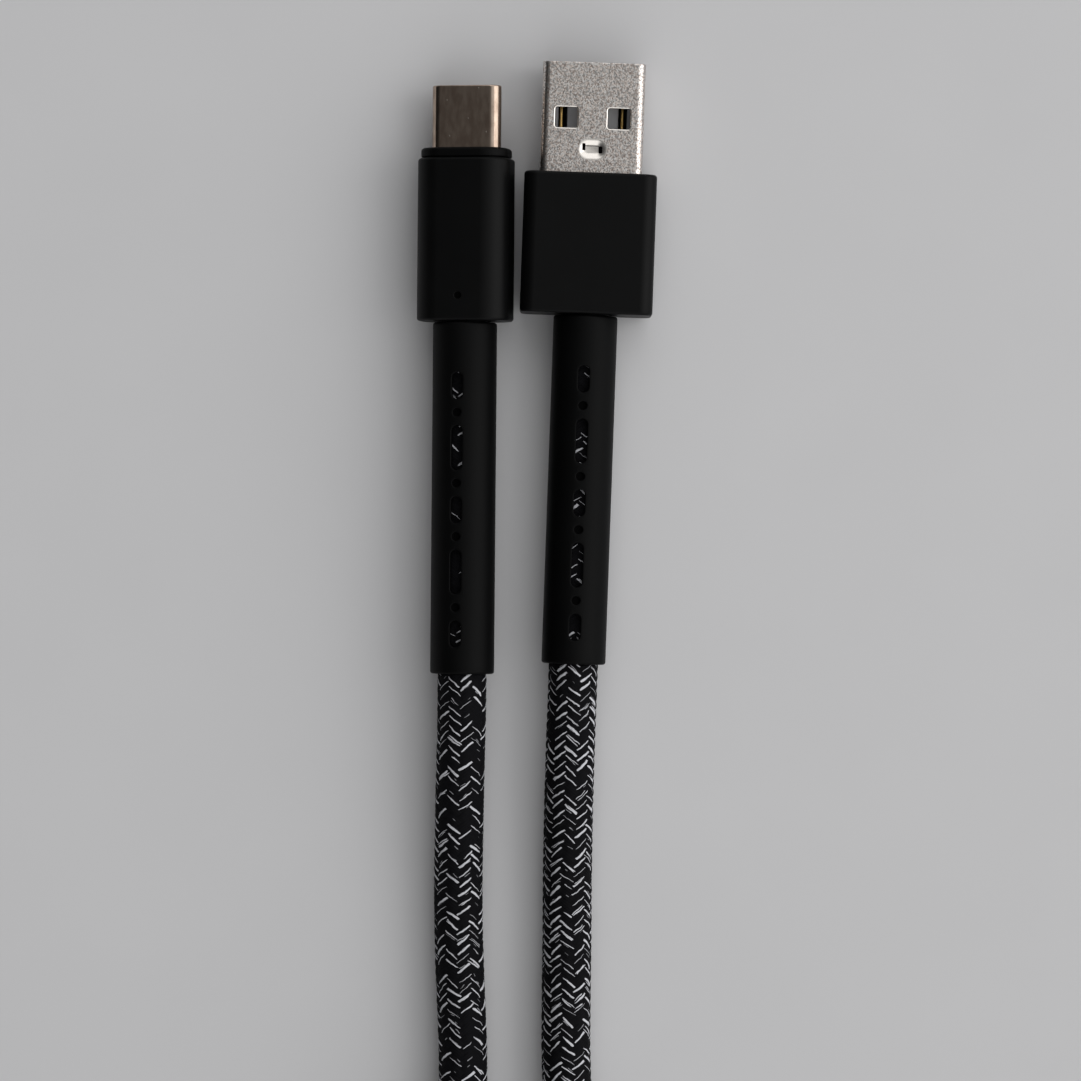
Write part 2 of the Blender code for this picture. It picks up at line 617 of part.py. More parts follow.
def usb_c_core(plug):
    """The insulator with its slot, two rows of contacts, the latch between them and the ground springs."""
    width = C_SHELL_WIDTH - 2 * (C_SHELL_WALL + FINE_FIT)
    height = C_SHELL_HEIGHT - 2 * (C_SHELL_WALL + FINE_FIT)
    front = C_SHELL_OUT - C_INSULATOR_SETBACK
    rear = -C_SHELL_IN + FINE_FIT
    size = (width, front - rear, height)
    body = block("usb_c_insulator", plug, BLACK, size, (0, (front + rear) / 2, 0), height / 2)
    slot_end = front - C_SLOT_DEPTH
    size = (C_SLOT_WIDTH, 2 * C_SLOT_DEPTH, C_SLOT_HEIGHT)
    cut(body, block("usb_c_slot", plug, None, size, (0, front, 0), C_SLOT_ROUND))
    latch_half = C_SLOT_WIDTH / 2 - FINE_FIT
    latch_tip = C_SHELL_OUT - C_LATCH_SETBACK
    size = (2 * latch_half, latch_tip - rear, C_LATCH_THICKNESS)
    middle = (0, (latch_tip + rear) / 2, 0)
    latch = block("usb_c_latch", plug, STEEL, size, middle)
    arm_inside = 2 * (latch_half - C_LATCH_ARM)
    hook_inside = arm_inside - 2 * C_LATCH_HOOK
    bar_front = slot_end - C_LATCH_ARM
    hook_rear = latch_tip - C_LATCH_HOOK_LENGTH
    size = (arm_inside, hook_rear - bar_front, 4 * C_LATCH_THICKNESS)
    cut(latch, block("usb_c_latch_inside", plug, None, size, (0, (hook_rear + bar_front) / 2, 0)))
    size = (hook_inside, 3 * C_LATCH_HOOK_LENGTH, 3 * C_LATCH_THICKNESS)
    cut(latch, block("usb_c_latch_mouth", plug, None, size, (0, latch_tip, 0)))
    size = (2 * (latch_half + FINE_FIT), 2 * (slot_end - rear), C_LATCH_THICKNESS + FINE_FIT)
    cut(body, block("usb_c_latch_slit", plug, None, size, (0, rear, 0)))
    usb_c_contacts(plug, body, rear)
    for side, where in ((1, "top"), (-1, "under")):
        size = (C_SPRING_WIDTH, C_SPRING_LENGTH, C_SPRING_THICKNESS)
        y = C_SHELL_OUT - C_SPRING_SETBACK - C_SPRING_LENGTH / 2
        z = side * (C_SLOT_HEIGHT / 2 - FINE_FIT - C_SPRING_THICKNESS / 2)
        block("usb_c_ground_spring_" + where, plug, STEEL, size, (0, y, z))


def usb_c_contacts(plug, body, rear):
    tip = C_SHELL_OUT - C_CONTACT_SETBACK
    tail = rear - C_TAIL
    middle = (C_POSITIONS + 1) / 2
    for side, letter, row in ((1, "a", C_TOP_CONTACTS), (-1, "b", C_UNDER_CONTACTS)):
        for number, role in row.items():
            x = side * (number - middle) * C_CONTACT_PITCH
            size = (C_CONTACT_WIDTH, tip - tail, C_CONTACT_THICKNESS)
            place = (x, (tip + tail) / 2, side * C_CONTACT_RISE)
            name = f"usb_c_contact_{letter}{number}_{role}"
            block(name, plug, GOLD, size, place)
            around = [s + 2 * CONTACT_FIT for s in size]
            cut(body, block(name + "_way", plug, None, around, place))


def usb_c_board(plug):
    front = -C_SHELL_IN - FIT
    rear = front - C_BOARD_LENGTH
    size = (C_BOARD_WIDTH, C_BOARD_LENGTH, C_BOARD_THICKNESS)
    block("usb_c_board", plug, GREEN_BOARD, size, (0, (front + rear) / 2, 0))
    z = C_BOARD_THICKNESS / 2 + FINE_FIT + C_RESISTOR[2] / 2
    block("usb_c_pull_up_resistor", plug, CERAMIC, C_RESISTOR, (-C_RESISTOR_ACROSS, (front + rear) / 2, z))
    wire_rear = ferrule_front(usb_c_housing_rear()) + 2 * FIT
    wire_front = rear + C_WIRE_JOINT_IN
    rise = C_BOARD_THICKNESS / 2 + FINE_FIT + WIRE_DIAMETER / 2
    for colour, (side, up) in C_WIRES.items():
        start = (side * C_WIRE_LEAVES, wire_rear, up * C_WIRE_LEAVES)
        wire("usb_c_wire_" + colour, plug, colour, start, (side * C_WIRE_JOINT_ACROSS, wire_front, up * rise))


def usb_c_housing_rear():
    return -C_COLLAR_LENGTH - FIT - C_HOUSING_LENGTH


def usb_c_back(plug):
    """The rear shield, the inner mould with its front collar, and the housing."""
    housing_front = -C_COLLAR_LENGTH - FIT
    housing_rear = usb_c_housing_rear()
    rear = mould_rear(housing_rear)
    shield_front = -C_SHELL_IN - FIT
    shield_rear = ferrule_front(housing_rear) + 2 * FIT
    metal_tube(
        "usb_c_rear_shield", plug, STEEL, C_SHIELD_WIDTH, C_SHIELD_HEIGHT, C_SHIELD_WALL, C_SHIELD_ROUND,
        shield_front, shield_rear,
    )
    cavity_width = C_HOUSING_WIDTH - 2 * C_HOUSING_WALL
    cavity_height = C_HOUSING_HEIGHT - 2 * C_HOUSING_WALL
    cavity_round = C_HOUSING_ROUND - C_HOUSING_WALL
    size = (C_COLLAR_WIDTH, -rear, C_COLLAR_HEIGHT)
    mould = block(
        "usb_c_inner_mould", plug, MOULD, size, (0, rear / 2, 0), C_HOUSING_ROUND - FIT, edge=EDGE_ROUND / 2
    )
    waist = (cavity_width - 2 * FIT, C_HOUSING_LENGTH, cavity_height - 2 * FIT)
    trim = block(
        "usb_c_trim", plug, None, (2 * C_COLLAR_WIDTH, C_HOUSING_LENGTH, 2 * C_COLLAR_HEIGHT),
        (0, -C_COLLAR_LENGTH - C_HOUSING_LENGTH / 2, 0),
    )
    core = block(
        "usb_c_trim_core", plug, None, (waist[0], 2 * waist[1], waist[2]),
        (0, -C_COLLAR_LENGTH - C_HOUSING_LENGTH / 2, 0), cavity_round - FIT,
    )
    cut(trim, core)
    cut(mould, trim)
    opening = (C_SHELL_WIDTH + 2 * FIT, C_SHELL_HEIGHT + 2 * FIT)
    pocket(mould, "usb_c_mouth", plug, opening, C_SHELL_IN, -C_SHELL_IN - FIT, opening[1] / 2)
    around = (C_SHIELD_WIDTH + 2 * FIT, C_SHIELD_HEIGHT + 2 * FIT)
    pocket(mould, "usb_c_pocket", plug, around, -C_SHELL_IN, shield_rear - FIT / 2, C_SHIELD_ROUND + FIT)
    ferrule_bore("usb_c", plug, mould, 0.5 * (shield_front + shield_rear), rear)
    size = (C_HOUSING_WIDTH, C_HOUSING_LENGTH, C_HOUSING_HEIGHT)
    centre = (0, (housing_front + housing_rear) / 2, 0)
    housing = block("usb_c_housing", plug, PLASTIC, size, centre, C_HOUSING_ROUND, edge=EDGE_ROUND)
    inner_rear = housing_rear + END_WALL
    cavity = (cavity_width, cavity_height)
    pocket(housing, "usb_c_housing_inside", plug, cavity, -inner_rear, inner_rear, cavity_round)
    neck_hole("usb_c", plug, housing, housing_rear)
    top = C_HOUSING_HEIGHT / 2
    dot_y = housing_rear + C_DOT_FROM_REAR
    dot = rod("usb_c_dot", plug, None, C_DOT_DIAMETER, 2 * top, top - C_DOT_DEPTH, 0, dot_y, "Z", SMALL_STEPS)
    cut(housing, dot)
    return housing_rear


# ---------------------------------------------------------------------------- the hank

def loop_widths(turns):
    """The lobe radius and the half waist after this many turns: one step in, then one step out again."""
    inward = ease((min(turns, LOOPS - turns) - DRAWN_IN_FROM) / DRAWN_IN_OVER)
    return INNER_RADIUS + LOOP_STEP * (1 - inward), WAIST_HALF - LOOP_STEP * inward


def hank_point(turns):
    """A point on the loops, in the hank's own frame: 0 is the right waist, and they run down it first."""
    radius, waist = loop_widths(turns)
    half = LOBES_APART / 2
    waist_radius = (waist ** 2 + half ** 2 - radius ** 2) / (2 * (radius - waist))
    meet = math.atan2(half, waist + waist_radius)
    waist_share = meet / (2 * meet + math.pi / 2)
    quarter, along = divmod(turns % 1.0 * 4, 1)
    if quarter in (1, 3):
        along = 1 - along
    if along < waist_share:
        angle = meet * along / waist_share
        x = waist + waist_radius * (1 - math.cos(angle))
        y = -waist_radius * math.sin(angle)
    else:
        angle = meet - (along - waist_share) / (1 - waist_share) * (meet + math.pi / 2)
        x = radius * math.cos(angle)
        y = -half + radius * math.sin(angle)
    if quarter in (1, 2):
        x = -x
    if quarter in (2, 3):
        y = -y
    climb = ease((turns - CLIMB_FROM) / CLIMB_OVER) - ease((turns - LOOPS) / DESCENT_OVER)
    lift = (TIE_THICKNESS + CORD_FIT) * (1 - ease((abs(y) - TIE_WIDTH / 2 - LIFTED_PAST_TIE) / LIFT_OVER))
    return Vector((x, y, CORD_DIAMETER / 2 + TABLE_FIT + LAYER_STEP * climb + lift))


def entry_turns():
    """How many turns before the first waist the cord joins the loops, and that place's angle on the lobe."""
    outer = INNER_RADIUS + LOOP_STEP
    half = LOBES_APART / 2
    across = HANK_ENTRY_OFFSET + ENTRY_RADIUS
    reach = math.hypot(ENTRY_RADIUS + outer, ENTRY_STRAIGHT)
    drop = math.sqrt(reach ** 2 - across ** 2)
    angle = math.atan2(drop, across) - math.atan2(ENTRY_STRAIGHT, ENTRY_RADIUS + outer)
    waist_radius = (WAIST_HALF ** 2 + half ** 2 - outer ** 2) / (2 * (outer - WAIST_HALF))
    meet = math.atan2(half, WAIST_HALF + waist_radius)
    share = meet / (2 * meet + math.pi / 2)
    along = share + (1 - share) * (meet + angle) / (meet + math.pi / 2)
    return along / 4, angle, drop


def hank_points():
    """The loops and a straight end on each side, in the part's frame, and how the ends point."""
    before, angle, drop = entry_turns()
    first, last = math.ceil(-before * LOOP_POINTS + 0.3), math.floor((LOOPS + before) * LOOP_POINTS - 0.3)
    turns = [-before] + [i / LOOP_POINTS for i in range(first, last + 1)] + [LOOPS + before]
    loops = [hank_point(t) for t in turns]
    out = Vector((-math.sin(angle), math.cos(angle), 0))
    ends = [out, Vector((-out.x, out.y, 0))]
    line = [loops[0] + CORD_DIAMETER * ends[0]] + loops + [loops[-1] + CORD_DIAMETER * ends[1]]
    middle = Vector((HANK_X, HANK_ENTRY_Y - drop - LOBES_APART / 2, 0))
    return [middle + p for p in line], ends, middle


def least_gap(points, diameter):
    """The least clear distance between stretches of the tube that lie three diameters or more apart on it."""
    per_diameter = 4
    fine = spaced(points, diameter / per_diameter)
    apart = 3 * per_diameter
    return min((a - b).length for i, a in enumerate(fine) for b in fine[i + apart:]) - diameter


def convex_outline(points):
    """The convex outline of points in a plane, anticlockwise."""
    ordered = sorted(set((round(x, 9), round(y, 9)) for x, y in points))

    def half(items):
        chain = []
        for p in items:
            while len(chain) > 1 and (
                (chain[-1][0] - chain[-2][0]) * (p[1] - chain[-2][1])
                - (chain[-1][1] - chain[-2][1]) * (p[0] - chain[-2][0]) <= 0
            ):
                chain.pop()
            chain.append(p)
        return chain[:-1]

    return half(ordered) + half(ordered[::-1])


def tie(middle):
    """A strap round the strands at the waist."""
    strands = [hank_point(t / 2) for t in range(round(2 * LOOPS) + 1)]
    beside = hank_point(1 / LOOP_POINTS)
    slack = (beside.x - WAIST_HALF) * TIE_WIDTH / 2 / abs(beside.y)  # the strands spread towards its edges

    def outline(radius):
        ring = []
        for strand in strands:
            side = math.copysign(slack, strand.x)
            for i in range(CORD_END_STEPS):
                angle = 2 * math.pi * i / CORD_END_STEPS
                ring.append((strand.x + side + radius * math.cos(angle), strand.z + radius * math.sin(angle)))
        return convex_outline(ring)

    inner = CORD_DIAMETER / 2 + CORD_FIT
    data = bpy.data.curves.new("cable_tie", "CURVE")
    data.dimensions = "2D"
    data.fill_mode = "BOTH"
    data.extrude = TIE_WIDTH / 2
    for radius in (inner + TIE_THICKNESS, inner):
        points = outline(radius)
        line = data.splines.new("POLY")
        line.points.add(len(points) - 1)
        line.use_cyclic_u = True
        for point, (x, z) in zip(line.points, points):
            point.co = (x, z, 0, 1)
    strap = link(bpy.data.objects.new("cable_tie", data), None, TIE)
    strap.rotation_euler = (math.radians(90), 0, 0)
    strap.location = middle


# ---------------------------------------------------------------------------- the cord

def free_stretch(name, plug, mouth, route, hank_end, outward, side):
    """The cord from a sleeve's mouth to the hank: along the route, then parting from the other cord."""
    spot = plug.matrix_world
    away = -(spot.to_3x3() @ Vector((0, 1, 0)))
    start = spot @ Vector((0, mouth, 0)) + CORD_FIT * away
    low = CORD_DIAMETER / 2 + TABLE_FIT
    points = [start, start + MOUTH_STRAIGHT * away]
    for x, y in route:
        fallen = ease((points[1].y - y * MM) / FALL_OVER)
        if fallen > 0:
            points.append(Vector((x * MM, y * MM, low + (start.z - low) * (1 - fallen))))
    centre = Vector((HANK_X + side * (HANK_ENTRY_OFFSET + ENTRY_RADIUS), HANK_ENTRY_Y, low))
    sweep = math.asin(abs(outward.x))
    for i in range(1, ENTRY_POINTS + 1):
        angle = sweep * i / ENTRY_POINTS
        points.append(centre + ENTRY_RADIUS * Vector((-side * math.cos(angle), -math.sin(angle), 0)))
    end = hank_end + CORD_FIT * outward
    line = smooth_line(points, away, -outward, FREE_STEP) + [end]
    tube(name, None, BRAID, line, CORD_DIAMETER)
    return line


def build():
    a_plug, a_mouth = usb_a_plug()
    c_plug, c_mouth = usb_c_plug()
    bpy.context.view_layer.update()
    loops, ends, middle = hank_points()
    tube("cord_hank", None, BRAID, loops, CORD_DIAMETER, HANK_SIDES)
    tie(middle)
    a_line = free_stretch("cord_run_a", a_plug, a_mouth, A_ROUTE, loops[0], ends[0], 1)
    c_line = free_stretch("cord_run_c", c_plug, c_mouth, C_ROUTE, loops[-1], ends[1], -1)
    free = length_of(a_line) + length_of(loops) + length_of(c_line)
    tips = A_SHELL_OUT - a_mouth + C_SHELL_OUT - c_mouth
    print(f"free cord {free:.3f} m, tip to tip {free + tips:.3f} m")
    print(f"least gap in the hank {least_gap(loops, CORD_DIAMETER) / MM:.2f} mm")


for old in list(bpy.data.objects):
    bpy.data.objects.remove(old, do_unlink=True)
CABLE = new_collection("charging_cable")
CUTTERS = new_collection("cutters")
build()
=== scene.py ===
"""The looks of the charging cable: two plugs, two slotted sleeves, the braided cord, its hank and the tie.

All is in metres, in the solids' own frame: +Z is up from the table and +Y runs along the plugs to their tips.
Sizes that the solids fix are repeated here under the same names.
"""

import functools
import math

import bmesh
import bpy
import numpy as np
from mathutils import Matrix, Vector
from mathutils.geometry import convex_hull_2d

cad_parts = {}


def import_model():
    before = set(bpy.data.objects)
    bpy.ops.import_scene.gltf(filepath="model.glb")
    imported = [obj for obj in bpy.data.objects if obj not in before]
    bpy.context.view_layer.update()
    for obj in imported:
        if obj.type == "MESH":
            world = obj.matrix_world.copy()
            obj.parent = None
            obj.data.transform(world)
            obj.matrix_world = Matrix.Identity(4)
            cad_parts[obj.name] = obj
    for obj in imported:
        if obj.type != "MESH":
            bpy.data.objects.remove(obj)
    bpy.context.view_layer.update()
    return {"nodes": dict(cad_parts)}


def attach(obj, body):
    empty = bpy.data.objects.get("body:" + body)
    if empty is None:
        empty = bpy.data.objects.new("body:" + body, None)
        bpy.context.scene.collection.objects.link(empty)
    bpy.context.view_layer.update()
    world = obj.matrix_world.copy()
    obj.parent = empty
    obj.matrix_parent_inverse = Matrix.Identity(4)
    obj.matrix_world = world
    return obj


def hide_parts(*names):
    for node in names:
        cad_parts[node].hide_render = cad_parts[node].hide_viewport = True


MM = 0.001
DEGREES = math.pi / 180

# Clearances
FIT = 0.15 * MM
FINE_FIT = 0.08 * MM  # round the USB-A contacts, the springs and the latch
CORD_FIT = 0.3 * MM
TABLE_FIT = 0.02 * MM

# Cord and braid
CORD_DIAMETER = 5.8 * MM
CORD_RADIUS = CORD_DIAMETER / 2
CORE_RADIUS = 2.35 * MM  # what the braid covers of the two free stretches lie on
CARRIERS = 12  # tows that wind each way round the cord
LEAD = 13.7 * MM  # along the cord, for one turn of a tow
TOW_RELIEF = 0.2 * MM
FINE_STEPS = 96  # points round the braid that the camera sees
FINE_STEP = 0.16 * MM
HANK_STEPS = 40  # and round the rest of it
HANK_STEP = 0.45 * MM
BRAID_LAP = 0.2 * MM  # how far the first goes on over the second
PHASE_AT_A = 54.5 / 360  # of a turn: which column of the braid lies on top at the USB-A sleeve
PHASE_AT_C = 68.5 / 360
PHASE_INSIDE_A = 13 / 360  # and how much further round it lies inside the sleeve
PHASE_INSIDE_C = 10 / 360
PHASE_INSIDE_OVER = 3 * MM
WANDER = ((0.007, 6.1 * MM, 0.0), (0.005, 2.9 * MM, 1.0))  # waves of that turn: size, length and start
WANDER_OVER = 8 * MM
WHITE_YARNS = (
    (0.0, 0.82, (0.05, 0.17), 0.16, (0.48, 0.68)),
    (300.0, 0.28, (0.04, 0.10), 0.34, (0.30, 0.58)),
    (600.0, 0.35, (0.04, 0.08), 0.40, (0.10, 0.25)),
)  # each one's own chances, on what share of the floats it shows, its widths, spread and half lengths
FEWER_AT_C = 0.22  # the share of them that is left out near the USB-C sleeve
FEWER_AT_C_OVER = (12.0, 9.0)  # leads from its mouth
# painted shade: the share of white yarns left out inside both sleeves, where the slots are shaded
PAINTED_SHADE_INSIDE = 0.45  # and inside both sleeves

# USB-A plug. Its own Y runs to the tip, from the front of the housing.
A_SHELL_WIDTH = 12.0 * MM
A_SHELL_HEIGHT = 4.5 * MM
A_SHELL_WALL = 0.3 * MM
A_SHELL_BEND = 0.7 * MM
A_SHELL_OUT = 12.95 * MM
A_SHELL_IN = 6.0 * MM
A_SEAM = 0.1 * MM
A_WINDOW = (2.6 * MM, 2.35 * MM)
A_WINDOW_APART = 6.15 * MM
A_WINDOW_FROM_TIP = 6.5 * MM
A_WINDOW_CORNER = 0.25 * MM
A_DIMPLE_FROM_TIP = 10.15 * MM
A_TONGUE_THICKNESS = 1.84 * MM
A_CONTACT_WIDTH = 1.0 * MM
A_CONTACT_THICKNESS = 0.25 * MM
A_TAIL = 1.1 * MM
A_CONTACTS = {
    "vbus": (-3.5 * MM, 1.3 * MM),
    "d_minus": (-1.0 * MM, 2.3 * MM),
    "d_plus": (1.0 * MM, 2.3 * MM),
    "gnd": (3.5 * MM, 1.3 * MM),
}  # place across the tongue, and setback from the tip
A_HOUSING_WIDTH = 15.5 * MM
A_HOUSING_HEIGHT = 8.4 * MM
A_HOUSING_LENGTH = 16.45 * MM
A_HOUSING_ROUND = 1.6 * MM

# USB-C plug. Its own Y runs to the tip, from the front of the collar.
C_SHELL_WIDTH = 8.25 * MM
C_SHELL_HEIGHT = 2.4 * MM
C_SHELL_WALL = 0.2 * MM
C_SHELL_OUT = 7.4 * MM
C_SHELL_IN = 3.0 * MM
C_COLLAR_WIDTH = 10.4 * MM
C_COLLAR_HEIGHT = 7.2 * MM
C_COLLAR_LENGTH = 1.05 * MM
C_SHIELD_WIDTH = 8.2 * MM
C_SHIELD_HEIGHT = 4.0 * MM
C_SHIELD_ROUND = 0.8 * MM
C_HOUSING_WIDTH = 11.05 * MM
C_HOUSING_HEIGHT = 7.8 * MM
C_HOUSING_LENGTH = 19.0 * MM
C_HOUSING_ROUND = 3.0 * MM
C_HOUSING_WALL = 0.8 * MM
C_DOT_DIAMETER = 0.85 * MM
C_DOT_DEPTH = 0.3 * MM
C_DOT_EDGE = 0.08 * MM
C_DOT_BOWL = 0.1 * MM
C_DOT_FROM_REAR = 2.9 * MM

# Both housings and sleeves
HOUSING_WALL = 1.0 * MM
END_WALL = 1.2 * MM
EDGE_ROUND = 0.35 * MM
FERRULE_LENGTH = 1.8 * MM
FERRULE_WALL = 0.4 * MM
FERRULE_INSET = 0.2 * MM
JACKET_DIAMETER = 4.2 * MM
SLEEVE_DIAMETER = 7.5 * MM
SLEEVE_HEAD_LENGTH = 1.6 * MM
SLEEVE_HEAD_DIAMETER = 5.7 * MM
SLEEVE_NECK_DIAMETER = 5.2 * MM
SLEEVE_SHOULDER = 1.2 * MM
SLEEVE_RIM = 0.3 * MM
SLEEVE_LIP = 0.12 * MM
SLEEVE_ROW = 0.8 * MM
A_SLEEVE_LENGTH = 40.75 * MM
C_SLEEVE_LENGTH = 41.1 * MM
SLOT_WIDTH = 1.3 * MM
SHORT_SLOT = 3.15 * MM
LONG_SLOT = 5.2 * MM
FIRST_SLOT = 5.9 * MM
SLOT_TO_DOT = 1.53 * MM
SLEEVE_DOT = 1.0 * MM
SLEEVE_DOT_DEPTH = 0.35 * MM
SLEEVE_DOT_BOWL = 0.15 * MM
SLOT_PATTERN = (SHORT_SLOT, LONG_SLOT, SHORT_SLOT, LONG_SLOT, SHORT_SLOT)

# What only the scene shows: soft edges and the tie's overlap
SLEEVE_SIDES = 96
SLOT_EDGE = 0.14 * MM
A_SHELL_ROUND = 0.9 * MM
A_LIP = 0.1 * MM
A_WINDOW_EDGE = 0.19 * MM
A_POCKET = (3.34 * MM, 2.5 * MM)  # where the pressed pocket's slopes begin
A_POCKET_ASIDE = 0.12 * MM  # how far right of the pocket's floor that is
A_POCKET_FLOOR = (1.5 * MM, 0.62 * MM)
A_POCKET_DEPTH = 0.26 * MM
A_SLITS = (
    (-0.93 * MM, 0.27 * MM, 0.38 * MM, 0.84 * MM), (1.02 * MM, -0.04 * MM, 0.46 * MM, 0.84 * MM),
    (0.0 * MM, 0.40 * MM, 1.60 * MM, 0.09 * MM),
)  # each one's place across and along from the pocket's middle, its width and its length
A_SLIT_DEPTH = 0.28 * MM
C_LIP = 0.18 * MM
C_COLLAR_EDGE = 0.1 * MM
A_FLANK_THICKNESS = 0.03 * MM  # of each USB-A contact beside its ridge
A_CONTACT_NOSE = ((0.5 * MM, 1.0), (0.2 * MM, 0.8), (0.0, 0.4))  # distance from its tip, share of its height
A_RIDGE_WIDTH = 0.44 * MM
A_RIDGE_ASIDE = (-0.16 * MM, 0.0, 0.0, -0.04 * MM)
TIE_OVERLAP = 17.0 * MM
TIE_CLIMB = 5.0 * MM  # how much of the strap rises over its start
TIE_TAPER = 2.0 * MM
TIE_GAP = 0.05 * MM
TIE_STEP = 0.5 * MM

# Where the plugs lie
A_PLACE = (6.23 * MM, 22.58 * MM)
A_HEADING = -2.03 * DEGREES
C_PLACE = (-8.3 * MM, 25.56 * MM)
C_HEADING = -0.5 * DEGREES
C_ROLL = -13.0 * DEGREES

# The cord's free stretches and its hank
A_ROUTE = [
    (3.80, -45.9), (3.62, -52.9), (3.50, -60.0), (3.45, -67.0), (3.36, -74.0), (3.35, -81.0),
]  # millimetres
C_ROUTE = [
    (-9.02, -45.9), (-9.17, -52.9), (-9.29, -60.0), (-9.24, -67.0), (-9.00, -74.0), (-8.75, -81.0),
]  # millimetres
MOUTH_STRAIGHT = 4.0 * MM
FALL_OVER = 26.0 * MM
HANK_X = -2.65 * MM
HANK_ENTRY_Y = -83.2 * MM
HANK_ENTRY_OFFSET = 6.0 * MM
ENTRY_RADIUS = 18.0 * MM
ENTRY_STRAIGHT = 9.3 * MM
ENTRY_POINTS = 4
INNER_RADIUS = 16.6 * MM
LOOP_STEP = 6.5 * MM
LOBES_APART = 57.4 * MM
WAIST_HALF = 12.5 * MM
LAYER_STEP = 6.35 * MM
LOOPS = 2.5
TIE_THICKNESS = 1.1 * MM
TIE_WIDTH = 9.0 * MM
LIFTED_PAST_TIE = 5.4 * MM
LIFT_OVER = 9.0 * MM
DRAWN_IN_FROM = 0.25
DRAWN_IN_OVER = 0.4
CLIMB_FROM = 1.0
CLIMB_OVER = 0.5
DESCENT_OVER = 0.2

# The photograph's view: 1081 pixels each way, from straight above
PHOTO_PIXELS = 1081
PIXELS_PER_MM = 8.56
VIEW_CENTRE = (0.35 * MM, -20.3 * MM)
VIEW_PLANE = 6.0 * MM  # the height at which that scale holds
CAMERA_DISTANCE = 0.60
SENSOR = 36.0

# The lamp
LAMP_PLACE = (0.52, 0.05, 0.30)
LAMP_AIM = (0.0, -0.02, 0.0)
LAMP_SIZE = (0.40, 0.58)
LAMP_POWER = 1.05
LAMP_COLOUR = (1.0, 0.985, 0.97)

# The studio round it: how bright it is from the far left, over the zenith, to the far right
WORLD = (
    (-1.0, 0.02), (-0.75, 0.03), (-0.44, 0.12), (-0.12, 0.19), (0.0, 0.45), (0.12, 0.61), (0.3, 0.80),
    (0.45, 0.95), (0.87, 0.95), (0.95, 0.50), (1.0, 0.15),
)
WORLD_ENDS = 1.1  # what it is at least in front and behind
WORLD_ENDS_AT = (0.2, 0.5)
WORLD_LEFT_OF_ENDS = (-0.5, -0.1)  # where that ends
WORLD_LOW = 0.6  # and what there is at the horizon
WORLD_LOW_AT = (0.03, 0.13)

# The table
TABLE_REACH = 1.5
TABLE_COLOURS = ((0.625, 0.625, 0.635), (0.655, 0.655, 0.665))


# ---- the cord's line

def ease(x):
    """0 up to x = 0, 1 from x = 1, and a smooth step between."""
    x = min(1.0, max(0.0, x))
    return x * x * (3 - 2 * x)


def smooth_curve(points, start, end, share=24):
    """Close points on a smooth curve through these points, with its directions at both ends given."""
    knots = [Vector(p) for p in points]
    slopes = [Vector(start).normalized()]
    slopes += [(c - a).normalized() for a, c in zip(knots, knots[2:])]
    slopes.append(Vector(end).normalized())
    fine = [knots[0]]
    for a, b, m, n in zip(knots, knots[1:], slopes, slopes[1:]):
        span = (b - a).length
        for i in range(1, share + 1):
            t = i / share
            fine.append(
                (1 + 2 * t) * (1 - t) ** 2 * a + t * (1 - t) ** 2 * span * m
                + t * t * (3 - 2 * t) * b + t * t * (t - 1) * span * n
            )
    return fine


def lobe(radius, waist):
    """How a loop's lobe meets its waist: the waist's radius, the angle, the waist's share of a quarter."""
    half = LOBES_APART / 2
    waist_radius = (waist ** 2 + half ** 2 - radius ** 2) / (2 * (radius - waist))
    meet = math.atan2(half, waist + waist_radius)
    return waist_radius, meet, meet / (2 * meet + math.pi / 2)


def loop_widths(turns):
    """The lobe's radius and half the waist after this many turns: one step in, then one step out again."""
    inward = ease((min(turns, LOOPS - turns) - DRAWN_IN_FROM) / DRAWN_IN_OVER)
    return INNER_RADIUS + LOOP_STEP * (1 - inward), WAIST_HALF - LOOP_STEP * inward


def hank_point(turns):
    """A point on the loops, in the hank's own frame: 0 is the right waist, and they run down it first."""
    radius, waist = loop_widths(turns)
    waist_radius, meet, waist_share = lobe(radius, waist)
    quarter, along = divmod(turns % 1.0 * 4, 1)
    if quarter in (1, 3):
        along = 1 - along
    if along < waist_share:
        angle = meet * along / waist_share
        x = waist + waist_radius * (1 - math.cos(angle))
        y = -waist_radius * math.sin(angle)
    else:
        angle = meet - (along - waist_share) / (1 - waist_share) * (meet + math.pi / 2)
        x = radius * math.cos(angle)
        y = -LOBES_APART / 2 + radius * math.sin(angle)
    if quarter in (1, 2):
        x = -x
    if quarter in (2, 3):
        y = -y
    climb = ease((turns - CLIMB_FROM) / CLIMB_OVER) - ease((turns - LOOPS) / DESCENT_OVER)
    lift = (TIE_THICKNESS + CORD_FIT) * (1 - ease((abs(y) - TIE_WIDTH / 2 - LIFTED_PAST_TIE) / LIFT_OVER))
    return Vector((x, y, CORD_RADIUS + TABLE_FIT + LAYER_STEP * climb + lift))


def entry_turns():
    """How many turns before the first waist the cord joins the loops, and that place's angle on the lobe."""
    outer = INNER_RADIUS + LOOP_STEP
    across = HANK_ENTRY_OFFSET + ENTRY_RADIUS
    reach = math.hypot(ENTRY_RADIUS + outer, ENTRY_STRAIGHT)
    drop = math.sqrt(reach ** 2 - across ** 2)
    angle = math.atan2(drop, across) - math.atan2(ENTRY_STRAIGHT, ENTRY_RADIUS + outer)
    _, meet, share = lobe(outer, WAIST_HALF)
    along = share + (1 - share) * (meet + angle) / (meet + math.pi / 2)
    return along / 4, angle, drop


